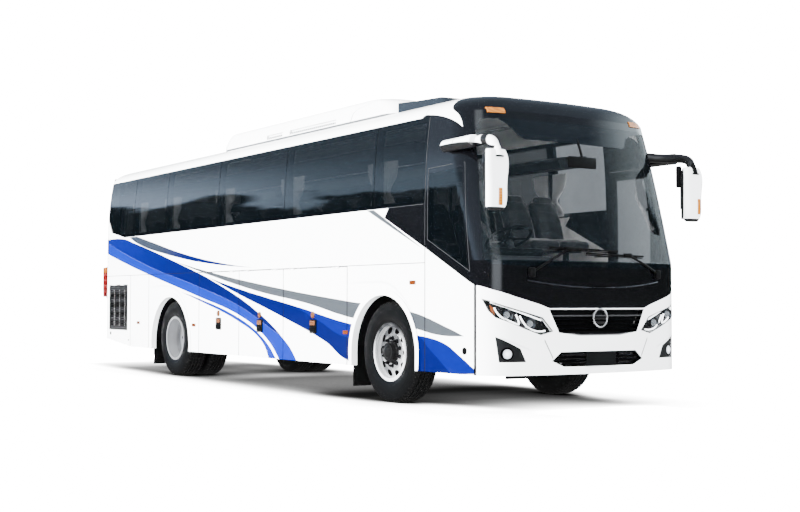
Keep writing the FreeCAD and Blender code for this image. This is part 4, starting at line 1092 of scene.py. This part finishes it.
def mirror_finish():
    """White shells on black backs and feet, and arms that are white above and black below."""
    f = Finish("mirror_shell", Coat_Weight=0.6, Coat_Roughness=0.05)
    x, y, z = f.place()
    right = y.below(0.0, 0.01)
    middle = f.lerp(right, MIRRORS[1][0], MIRRORS[0][0])
    centre = f.lerp(right, MIRRORS[1][1], MIRRORS[0][1])
    inboard = (x - middle) * 0.625 + (y - centre) * 0.777
    head = z.below(2.395) * inboard.above(-0.085, 0.004) * (x - middle).above(-0.04) * z.above(1.872)
    arm = z.above(2.4) * z.above(f.curve(x, [(4.0, 2.50), (4.6, 2.495), (4.8, 2.46), (5.1, 2.40)]))
    elbow = x.near(4.84, 0.055)
    white = head | (arm * (1.0 - elbow) * right)
    seam = x.near(4.372, 0.004) * z.above(2.4)
    shade = f.mix(f.noise(3.0), (0.0012, 0.0012, 0.0014), (0.003, 0.003, 0.0034))
    f.set(Base_Color=f.mix(white * (1.0 - seam), shade, (0.87, 0.88, 0.89)))
    f.set(Roughness=f.lerp(white, 0.45, 0.25))
    return f.bump(f.noise(160.0, 1.0) - seam * 5.0, 0.0004, 0.25).material


def mirror_glass():
    f = Finish("mirror_glass", Metallic=1.0)
    f.set(Base_Color=f.mix(f.noise(2.0), (0.6, 0.63, 0.66), (0.66, 0.69, 0.72)))
    f.set(Roughness=f.lerp(f.noise(4.0), 0.02, 0.05))
    return f.material


MIRROR_SHELL = mirror_finish()
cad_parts["mirrors"].material_slots[0].material = MIRROR_SHELL
MIRROR_GLASS = mirror_glass()
mirror_skin = Skin("mirrors")


def amber_strip():
    f = Finish("mirror_amber", Coat_Weight=1.0, Emission_Strength=0.5)
    x, y, z = f.place()
    ridge = z.wave(260.0)
    f.set(Base_Color=f.mix(ridge, (0.12, 0.035, 0.001), (0.2, 0.07, 0.004)), Roughness=0.15)
    f.set(Emission_Color=f.mix(ridge, (0.9, 0.25, 0.01), (1.0, 0.4, 0.02)))
    return f.bump(ridge, 0.0006, 0.5).material


AMBER_GLOW = amber_strip()


def add_mirror(x, y, side, tag):
    pane = box((0.012, 0.185, 0.36), 0.005, (x - 0.062, y, 2.15))
    small = box((0.012, 0.165, 0.1), 0.005, (x - 0.06, y, 1.92))
    settle("mirror_glass_" + tag, joined(pane, small), MIRROR_GLASS, slot="chrome")
    at = mirror_skin.front(y + (0.012 if side < 0 else 0.05), 1.965 if side < 0 else 1.995, 0.001)
    lamp = moved(block((0.016, 0.04, 0.155), 0.0075, 4), at)
    settle("mirror_lamp_" + tag, lamp, AMBER_GLOW, slot="amber_lens")
    path = [(4.17, side * 1.268, 2.50), (4.3, side * 1.276, 2.50), (4.45, side * 1.284, 2.502),
            (4.66, side * 1.296, 2.502)]
    dome = [(0.0, -0.05), (0.02, -0.047), (0.038, -0.036), (0.05, -0.018), (0.0575, 0.0), (0.05, 0.02)]
    root = joined(tube(path, 0.058), moved(lathe(dome, 32, "X"), path[0]))
    settle("mirror_root_" + tag, root, MIRROR_SHELL, slot="white_paint")
    hood = tube([(x - 0.13, y, 2.49), (x - 0.02, y, 2.46), (x + 0.035, y, 2.39), (x + 0.05, y, 2.33)], 0.032)
    cover = SLOTS["black_plastic" if side > 0 else "white_paint"]
    settle("mirror_hood_" + tag, hood, cover, slot="white_paint")
    gasket = box((0.06, 0.085, 0.014), 0.006, (x + 0.045, y, 2.325))
    bracket = box((0.05, 0.05, 0.22), 0.016, (x - 0.075, y - side * 0.1, 2.3))
    settle("mirror_bracket_" + tag, joined(gasket, bracket), "black_plastic")


for middle, (side, tag) in zip(MIRRORS, SIDES):
    add_mirror(*middle, side, tag)


# Latches and plugs on the sides

LATCHES = [(-0.801, 0.741), (0.342, 0.735), (1.631, 0.749)]
LATCH_AMBER = lens("latch_amber", (0.05, 0.015, 0.003), 1.0)


def add_latches():
    """On each luggage flap a dark handle box with a brass-coloured pull, and a round marker above it."""
    side_skin = Skin(*[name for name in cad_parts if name.startswith(("luggage_flap", "body_side"))])
    for side, tag in SIDES:
        cast = side_skin.flank(side)
        for k, (x, z) in enumerate(LATCHES):
            body = "luggage_flap_" + ("rear", "mid", "front")[k] + "_" + tag
            at = cast(x, z)
            base = box((0.15, 0.024, 0.155), 0.011, (x, at.y, z))
            grip = box((0.12, 0.02, 0.05), 0.008, (x, at.y + side * 0.012, z - 0.035))
            settle("latch_%s_%d" % (tag, k), joined(base, grip), "black_plastic", body)
            pull = box((0.11, 0.014, 0.052), 0.006, (x, at.y + side * 0.012, z + 0.038))
            dome = [(0.038, -0.004), (0.038, 0.006), (0.034, 0.012), (0.022, 0.016), (0.0, 0.018)]
            marker = moved(lathe(dome, 32), (x - 0.005, at.y, z + 0.13), facing(side))
            settle("latch_pull_%s_%d" % (tag, k), joined(pull, marker), LATCH_AMBER, body, "amber_lens")


add_latches()


def add_side_details():
    """Round plugs, fillers and locks that show on the sides."""
    side_skin = Skin("body_side_right", "body_side_left", "engine_side_door_right", "engine_side_door_left")
    plugs = []
    for x, z, r in ((4.45, 0.573, 0.034), (-4.616, 0.535, 0.024), (-3.885, 0.45, 0.012)):
        for side, _ in SIDES:
            at = side_skin.flank(side)(x, z)
            if at is None:
                continue
            ring = [(r, -0.004), (r, 0.005), (r * 0.85, 0.008), (r * 0.7, 0.003), (0.0, 0.002)]
            plugs.append(moved(lathe(ring, 28), at, facing(side)))
    settle("side_plugs", joined(*plugs), "black_plastic")


add_side_details()


# Window joints

PANE_JOINTS = (-3.734, -2.534, -0.864, 0.936, 2.876)
CAB_FRAME = [(3.85, 2.32), (4.40, 2.335), (4.53, 1.31), (3.85, 1.63)]
JOINT_GREY = moulded("joint_grey", (0.012, 0.013, 0.014), (0.02, 0.021, 0.023))


def add_window_joints():
    """Thin sealed joints between the window panes and the frame of the cab window."""
    band = Skin("side_glass", "window_pillars", "front_mask", "body_side_right", "body_side_left",
                "door_leaf", "door_glass")
    for side, tag in SIDES:
        cast = band.flank(side)
        lines = []
        for x in PANE_JOINTS:
            lines.append([cast(x, 1.985 + 0.085 * k, 0.0) for k in range(11)])
        lines.append([cast(2.88 + 0.1 * k, 1.98, 0.0) for k in range(10)])
        if side < 0:
            lines.append([cast(3.806, 1.58 + 0.125 * k, 0.0) for k in range(11)])
            corners = CAB_FRAME + CAB_FRAME[:1]
            for (xa, za), (xb, zb) in zip(corners, corners[1:]):
                steps = (0.0, 0.25, 0.5, 0.75, 1.0)
                lines.append([cast(xa + (xb - xa) * t, za + (zb - za) * t, 0.0) for t in steps])
        bars = [tube(line, 0.0035) for line in lines]
        settle("window_joints_" + tag, joined(*bars), JOINT_GREY, slot="rubber")


add_window_joints()


# Rear lamps and radiator

LAMP_REAR = [(0.97, 1.52), (0.975, 1.3), (0.99, 0.92), (1.1, 0.905), (1.17, 0.96), (1.21, 1.05),
             (1.236, 1.15), (1.238, 1.555), (1.0, 1.555)]
LAMP_SIDE = [(-4.872, 1.552), (-4.88, 1.42), (-4.91, 1.22), (-4.94, 1.09), (-4.985, 1.09), (-5.0, 1.2),
             (-5.0, 1.545)]
TAIL_LAMP_OUT = 0.016
BRAKE_LAMPS = 7
BRAKE_LAMP_PITCH = 0.075


def rear_red_finish():
    """Red lens with an orange head and pale chevrons."""
    f = Finish("rear_red", Specular_IOR_Level=0.7, Coat_Weight=0.6, Roughness=0.15)
    x, y, z = f.place()
    bars = ((z - abs(y) * 0.8) * 75.0).math("SINE").above(0.55, 0.2) * z.below(1.45)
    color = f.mix(z.near(1.505, 0.04), (0.05, 0.0006, 0.0009), (0.12, 0.03, 0.001))
    f.set(Base_Color=f.mix(bars * 0.45, color, (0.12, 0.02, 0.02)))
    return f.bump(bars, 0.0008, 0.4).material


REAR_RED = rear_red_finish()


def slab(outline, near, far):
    """A drawn outline in x and z, given a thickness along y, with softened edges."""
    mesh = bmesh.new()
    mesh.faces.new([mesh.verts.new((x, near, z)) for x, z in outline])
    thicken(mesh, (0.0, far - near, 0.0))
    bmesh.ops.recalc_face_normals(mesh, faces=mesh.faces)
    bmesh.ops.bevel(mesh, geom=mesh.edges[:], affect="EDGES", offset=0.012, segments=3, profile=0.5)
    return mesh


def add_rear_lamps():
    """Tail lamps wrapped round the rear corners, the high brake lamp, roof markers and the lid's handle."""
    top_skin = Skin("roof_shell", "rear_panel")
    tail = Skin("rear_panel", "body_side_right", "body_side_left", "engine_lid", "rear_bumper", "roof_shell")
    lid = Skin("engine_lid")
    for side, tag in SIDES:
        back = plate([(side * y, z) for y, z in LAMP_REAR], tail.rear, TAIL_LAMP_OUT, 0.03, 0.03)
        flank = slab(LAMP_SIDE, side * 1.13, side * 1.245)
        at = top_skin.hit((-4.85, side * 1.06, 4.0), (0, 0, -1), 0.0)
        marker = box((0.2, 0.07, 0.05), 0.016, at)
        reflector = box((0.012, 0.13, 0.04), 0.005, tail.rear(side * 0.78, 0.58, 0.003))
        settle("rear_markers_" + tag, joined(back, flank, marker, reflector), REAR_RED, slot="red_lens")
    first_y = -BRAKE_LAMP_PITCH * (BRAKE_LAMPS - 1) / 2
    brakes = [box((0.03, 0.066, 0.034), 0.006, tail.rear(first_y + BRAKE_LAMP_PITCH * k, 2.72))
              for k in range(BRAKE_LAMPS)]
    settle("high_brake_lamp", joined(*brakes), REAR_RED, slot="red_lens")
    spot = lid.rear(0.0, 0.86, 0.0)
    cup = box((0.02, 0.2, 0.08), 0.009, spot)
    grip = box((0.018, 0.13, 0.022), 0.008, spot + Vector((-0.016, 0.0, 0.008)))
    settle("engine_lid_handle", joined(cup, grip), "black_plastic", "engine_lid")


def add_radiator():
    """The dark core with its side tanks behind the slotted engine door."""
    core = box((0.64, 0.03, 0.6), 0.008, (RADIATOR_X, -1.145, RADIATOR_Z))
    tanks = [tube([(x, -1.145, 0.62), (x, -1.145, 1.24)], 0.028, smooth=False) for x in (-4.65, -3.984)]
    finish = moulded("radiator_core", SLOT_DARK, (0.0016, 0.0016, 0.0017), (0.7, 0.85))
    settle("radiator_core", joined(core, *tanks), finish, slot="black_plastic")


add_rear_lamps()
add_radiator()


# Inside

SEAT_ROWS = 11
SEAT_PITCH = 0.73
SEAT_BLOCKS = ((-1.105, -0.27, 2.456), (0.27, 1.105, 3.196))
SEAT_LAST_X = -4.424
SEAT_VOXEL = 0.022
SEAT_SWELL = 0.014
SWELL_FRAMES = 20
DECK_Z = 1.25
CAB_FLOOR_Z = 0.88
DRIVER_Y = -0.64


def puffed(mesh, voxel, cap):
    """Voxel remeshes a closed form and lets cloth under pressure swell it by no more than the cap."""
    pad = bpy.data.objects.new("pad", data_of(mesh, "pad"))
    scene.collection.objects.link(pad)
    remesh = pad.modifiers.new("remesh", "REMESH")
    remesh.mode = "VOXEL"
    remesh.voxel_size = voxel
    graph = bpy.context.evaluated_depsgraph_get()
    base = bpy.data.meshes.new_from_object(pad.evaluated_get(graph))
    pad.modifiers.clear()
    pad.data = base
    before = [v.co.copy() for v in base.vertices]
    cloth = pad.modifiers.new("cloth", "CLOTH")
    cloth.settings.use_pressure = True
    cloth.settings.uniform_pressure_force = 4.0
    cloth.settings.effector_weights.gravity = 0.0
    cloth.point_cache.frame_start = 1
    cloth.point_cache.frame_end = SWELL_FRAMES
    for step in range(1, SWELL_FRAMES + 1):
        scene.frame_set(step)
    graph = bpy.context.evaluated_depsgraph_get()
    swollen = bpy.data.meshes.new_from_object(pad.evaluated_get(graph))
    pad.modifiers.clear()
    for v, start, grown in zip(base.vertices, before, swollen.vertices):
        shift = grown.co - start
        if shift.length > cap:
            shift *= cap / shift.length
        v.co = start + shift
    bpy.data.meshes.remove(swollen)
    scene.frame_set(1)
    out = bmesh.new()
    out.from_mesh(base)
    bpy.data.objects.remove(pad)
    return out


def seat_pad():
    """One seat from its floor point: squab, leaning back with side bolsters, and headrest."""
    lean = Matrix.Rotation(math.radians(-14.0), 3, "Y")
    squab = moved(block((0.44, 0.40, 0.11), 0.045, 4), (0.2, 0.0, 0.395))
    back = moved(block((0.09, 0.40, 0.52), 0.04, 4), (-0.06, 0.0, 0.66))
    rest = moved(block((0.085, 0.27, 0.17), 0.04, 4), (-0.04, 0.0, 0.90))
    for mesh in (back, rest):
        bmesh.ops.rotate(mesh, verts=mesh.verts, cent=(0.0, 0.0, 0.42), matrix=lean)
    for mesh in (squab, back, rest):
        bmesh.ops.subdivide_edges(mesh, edges=mesh.edges[:], cuts=1, use_grid_fill=True)
    for v in back.verts:
        v.co.x += 0.9 * (v.co.y ** 2) * (1.0 if v.co.x > -0.1 else 0.2)
    return puffed(joined(squab, back, rest), SEAT_VOXEL, SEAT_SWELL)


def seat_finish():
    """Dark cloth with shallow channels across squab and back."""
    f = Finish("seat_cloth", Sheen_Weight=0.4, Specular_IOR_Level=0.2, Roughness=0.9)
    x, y, z = f.place()
    channel = ((z + x * 0.2) * 60.0).math("SINE")
    f.set(Base_Color=f.mix(f.noise(20.0), (0.009, 0.011, 0.014), (0.017, 0.02, 0.025)))
    return f.bump(channel.above(0.92, 0.06) * -1.0 + f.noise(500.0) * 0.2, 0.004, 0.6).material


SEAT_CLOTH = seat_finish()
PAD_DATA = data_of(seat_pad(), "seat_template")


def placed_pads(spots):
    pads = bmesh.new()
    pads.from_mesh(PAD_DATA)
    return repeat(pads, spots)


def seat_spots():
    """The floor points of the seats, two by two on both sides of the aisle."""
    spots = []
    for row in range(SEAT_ROWS):
        for y0, y1, first_x in SEAT_BLOCKS:
            x = first_x - SEAT_PITCH * row
            if x > SEAT_LAST_X:
                spots += [(x, y0 + (y1 - y0) * share, DECK_Z) for share in (0.25, 0.75)]
    return spots


SEAT_SPOTS = seat_spots()
saloon = settle("saloon_seats", placed_pads(SEAT_SPOTS), SEAT_CLOTH, slot="seat_fabric", sharp=60.0)
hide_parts("passenger_seats")
driver_pad = placed_pads([(3.896, DRIVER_Y, CAB_FLOOR_Z + 0.06)])
driver = settle("driver_seat_pad", driver_pad, SEAT_CLOTH, slot="seat_fabric", sharp=60.0)
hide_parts("driver_seat")


def add_seat_frames():
    """Steel legs, pedestals and arm rests under and beside the seats."""
    legs = []
    for x, y, z in SEAT_SPOTS[::2]:
        side = math.copysign(1.0, y)
        middle = side * 0.6875
        for off in (-0.2, 0.25):
            legs.append(box((0.05, 0.06, 0.34), 0.012, (x + 0.18, middle + off, z + 0.17)))
        legs.append(box((0.3, 0.7, 0.03), 0.01, (x + 0.18, middle, z + 0.33)))
        legs.append(box((0.26, 0.035, 0.035), 0.014, (x + 0.13, side * 0.262, z + 0.56)))
    legs.append(box((0.3, 0.3, 0.34), 0.05, (4.06, DRIVER_Y, CAB_FLOOR_Z + 0.17)))
    settle("seat_frames", joined(*legs), "black_plastic")


add_seat_frames()

CURTAIN_Y = 1.14
CURTAIN_GAP = 0.045
CURTAIN_FOLDS = 7
CURTAIN_FLAT = 0.5
CURTAIN_TOP = 2.475
CURTAIN_FOOT = 1.99


def curtain(x, side, way):
    """A gathered curtain, tied two thirds down, against the pillar."""
    across, down = CURTAIN_FOLDS * 8, 18
    mesh = bmesh.new()
    rows = []
    for j in range(down + 1):
        t = j / down
        z = CURTAIN_TOP + (CURTAIN_FOOT - CURTAIN_TOP) * t
        tie = math.exp(-((t - 0.62) / 0.2) ** 2)
        width = 0.24 - 0.04 * t - 0.13 * tie
        depth = math.sqrt(CURTAIN_FLAT ** 2 - width ** 2) / (4 * CURTAIN_FOLDS)
        row = []
        for i in range(across + 1):
            u = i / across
            fold = math.sin(2 * math.pi * CURTAIN_FOLDS * u)
            spot = (x + way * (CURTAIN_GAP + width * u), side * (CURTAIN_Y + depth * fold), z)
            row.append(mesh.verts.new(spot))
        rows.append(row)
    for a, b in zip(rows, rows[1:]):
        for i in range(across):
            mesh.faces.new((a[i], a[i + 1], b[i + 1], b[i]))
    return mesh


for side, tag in SIDES:
    for k, x in enumerate(PANE_JOINTS):
        for way, end in ((-1, "rear"), (1, "fore")):
            mesh = curtain(x, side, way)
            area = sum(face.calc_area() for face in mesh.faces)
            cloth = settle("curtain_%s_%d_%s" % (tag, k, end), mesh, "curtain_fabric", sharp=80.0)
            drop = CURTAIN_TOP - CURTAIN_FOOT
            area / drop
            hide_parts("curtains")


def add_cab():
    """Binnacle, switches, inner mirror and the strip lamps of the ceiling."""
    parts = [box((0.2, 0.55, 0.08), 0.035, (4.46, DRIVER_Y, 1.50))]
    for k in range(5):
        parts.append(box((0.02, 0.05, 0.03), 0.006, (4.395, -0.3 + 0.07 * k, 1.40)))
    parts.append(tube([(4.6, 0.0, 2.62), (4.66, 0.0, 2.5), (4.68, 0.0, 2.42)], 0.012))
    parts.append(box((0.03, 0.36, 0.11), 0.014, (4.68, 0.0, 2.38)))
    settle("cab_fittings", joined(*parts), "black_plastic")
    strips = [box((7.8, 0.09, 0.02), 0.008, (-0.6, y, 2.93)) for y in (-0.35, 0.35)]
    settle("ceiling_lamps", joined(*strips), glow("ceiling_lamp", (0.2, 0.21, 0.22), 0.3), slot="clear_lens")


add_cab()


# Camera, light and floor

EYE = Vector((13.633, -8.103, 1.037))
RIGHT = Vector((0.55542, 0.83157, 0.00176))
UP = Vector((0.02916, -0.02159, 0.99934))
LENS_MM = 55.55
SENSOR_MM = 36.0
EYE_WHITE = 18.0
SKY_LIGHT = 4.6
SKY_GLOSS = 1.0
FLOOR_GLOSS = 0.35
SHADOW_REACH = 0.7
SHADOW_DEPTH = 2.2
SHADOW_X = (-8.0, 8.0)
SHADOW_HALF = [(-6.2, 1.3), (-3.0, 1.5), (2.7, 1.5), (3.5, 1.19), (4.5, 0.95)]
SHADOW_DARK = [(-6.4, 0.0), (-5.0, 2.3), (-3.2, 3.9), (-1.6, 2.6), (0.3, 1.5), (1.6, 3.2), (2.6, 5.2),
               (3.4, 4.4), (3.9, 3.0), (4.25, 1.7), (4.6, 0.0)]


def add_camera():
    camera = bpy.data.objects.new("camera", bpy.data.cameras.new("camera"))
    back = RIGHT.cross(UP)
    turn = Matrix((RIGHT, UP, back)).transposed().to_4x4()
    camera.matrix_world = Matrix.Translation(EYE) @ turn
    camera.data.lens = LENS_MM
    camera.data.sensor_width = SENSOR_MM
    camera.data.clip_end = 400.0
    scene.collection.objects.link(camera)
    scene.camera = camera


def add_area(name, place, aim, size, power):
    light = bpy.data.lights.new(name, "AREA")
    light.shape = "RECTANGLE"
    light.size, light.size_y = size
    light.energy = power
    lamp = bpy.data.objects.new(name, light)
    lamp.location = place
    lamp.rotation_euler = (Vector(aim) - Vector(place)).to_track_quat("-Z", "Y").to_euler()
    lamp.visible_camera = False
    lamp.visible_glossy = False
    scene.collection.objects.link(lamp)


def ray_kind(tree, name):
    path = tree.nodes.new("ShaderNodeLightPath")
    return Wire(tree, path.outputs[name])


def add_world():
    """White to the eye, bright to the paint, and to gloss a pale sky over a dark line of trees."""
    world = bpy.data.worlds.new("studio")
    world.use_nodes = True
    scene.world = world
    t = Tree(world.node_tree)
    way = t.node("ShaderNodeTexCoord", output="Generated")
    east, north, height = t.split(way)
    leaves = t.noise(13.0, 8.0, way, (1.0, 1.0, 2.5))
    crown = height - leaves * 0.12
    horizon = t.mix(t.ramp(east * -1.0, 0.85, 0.93), (0.85, 1.15, 1.5), (1.9, 2.4, 3.1))
    sky = t.mix(t.ramp(height, 0.12, 0.24), horizon, (0.28, 0.36, 0.47))
    sky = t.mix(t.ramp(height, 0.24, 0.6), sky, (0.17, 0.22, 0.28))
    scenery = t.mix(t.ramp(crown, 0.055, 0.068), (0.01, 0.015, 0.015), sky)
    scenery = t.mix(t.ramp(north, 0.7, 0.95) * t.ramp(height, 0.08, 0.3), scenery, (3.6, 4.2, 4.5))
    level = reach(east, north) | 0.01
    strip = t.ramp((east * 0.777 - north * 0.625) / level, 0.94, 0.995) * t.ramp(height, -0.1, 0.0)
    scenery = t.mix(strip * t.ramp(height, 0.9, 0.5), scenery, (2.2, 2.4, 2.6))
    glossy = ray_kind(t, "Is Glossy Ray")
    seen = ray_kind(t, "Is Camera Ray")
    through = ray_kind(t, "Transparent Depth").above(0.5, 0.1)
    light = t.mix(glossy, (0.96, 0.98, 1.0), scenery)
    view = t.mix(through, (1.0, 1.0, 1.0), (0.42, 0.46, 0.5))
    background = t.nodes["Background"]
    t.feed(background.inputs["Color"], t.mix(seen, light, view))
    away = t.lerp(glossy, SKY_LIGHT, SKY_GLOSS)
    t.feed(background.inputs["Strength"], t.lerp(seen, away, t.lerp(through, EYE_WHITE, 1.9)))


def add_floor():
    """A floor that is white to the eye but for the soft shadow under the coach."""
    mesh = bmesh.new()
    bmesh.ops.create_grid(mesh, x_segments=8, y_segments=8, size=60.0)
    floor = bpy.data.objects.new("floor", data_of(mesh, "floor"))
    scene.collection.objects.link(floor)
    f = Finish("floor_white", Roughness=0.8, Specular_IOR_Level=0.2)
    f.set(Base_Color=f.mix(f.noise(1.5), (0.84, 0.84, 0.84), (0.87, 0.87, 0.87)))
    open_sky = f.node("ShaderNodeAmbientOcclusion", {"samples": 16}, {"Distance": SHADOW_REACH}, "AO")
    x, y, z = f.place()
    under = f.ramp(abs(y - 0.1) - f.curve(x, SHADOW_HALF, SHADOW_X), 0.0, -0.45)
    shade = under * f.curve(x, SHADOW_DARK, SHADOW_X) * -1.0
    away = ray_kind(f, "Transparent Depth").above(0.5, 0.1)
    white = open_sky.math("POWER", SHADOW_DEPTH) * shade.math("EXPONENT") * f.lerp(away, EYE_WHITE, 0.9)
    eye = f.node("ShaderNodeEmission", values={"Color": (1.0, 1.0, 1.0), "Strength": white})
    gloss = f.node("ShaderNodeEmission", values={"Color": (1.0, 1.0, 1.0), "Strength": FLOOR_GLOSS})
    surface = Wire(f, f.shader.outputs[0])
    surface = f.node("ShaderNodeMixShader", values=(ray_kind(f, "Is Glossy Ray"), surface, gloss))
    surface = f.node("ShaderNodeMixShader", values=(ray_kind(f, "Is Camera Ray"), surface, eye))
    f.links.new(surface.socket, f.nodes["Material Output"].inputs["Surface"])
    floor.data.materials.append(f.material)


add_camera()
add_world()
add_floor()
add_area("sky_panel", (1.0, -3.0, 11.0), (0.5, 0.0, 1.0), (16.0, 9.0), 3000.0)
add_area("side_panel", (-1.0, -16.0, 5.0), (0.0, 0.0, 1.6), (16.0, 6.0), 30000.0)
add_area("front_panel", (14.0, 3.0, 6.0), (4.0, 0.0, 1.5), (8.0, 5.0), 700.0)
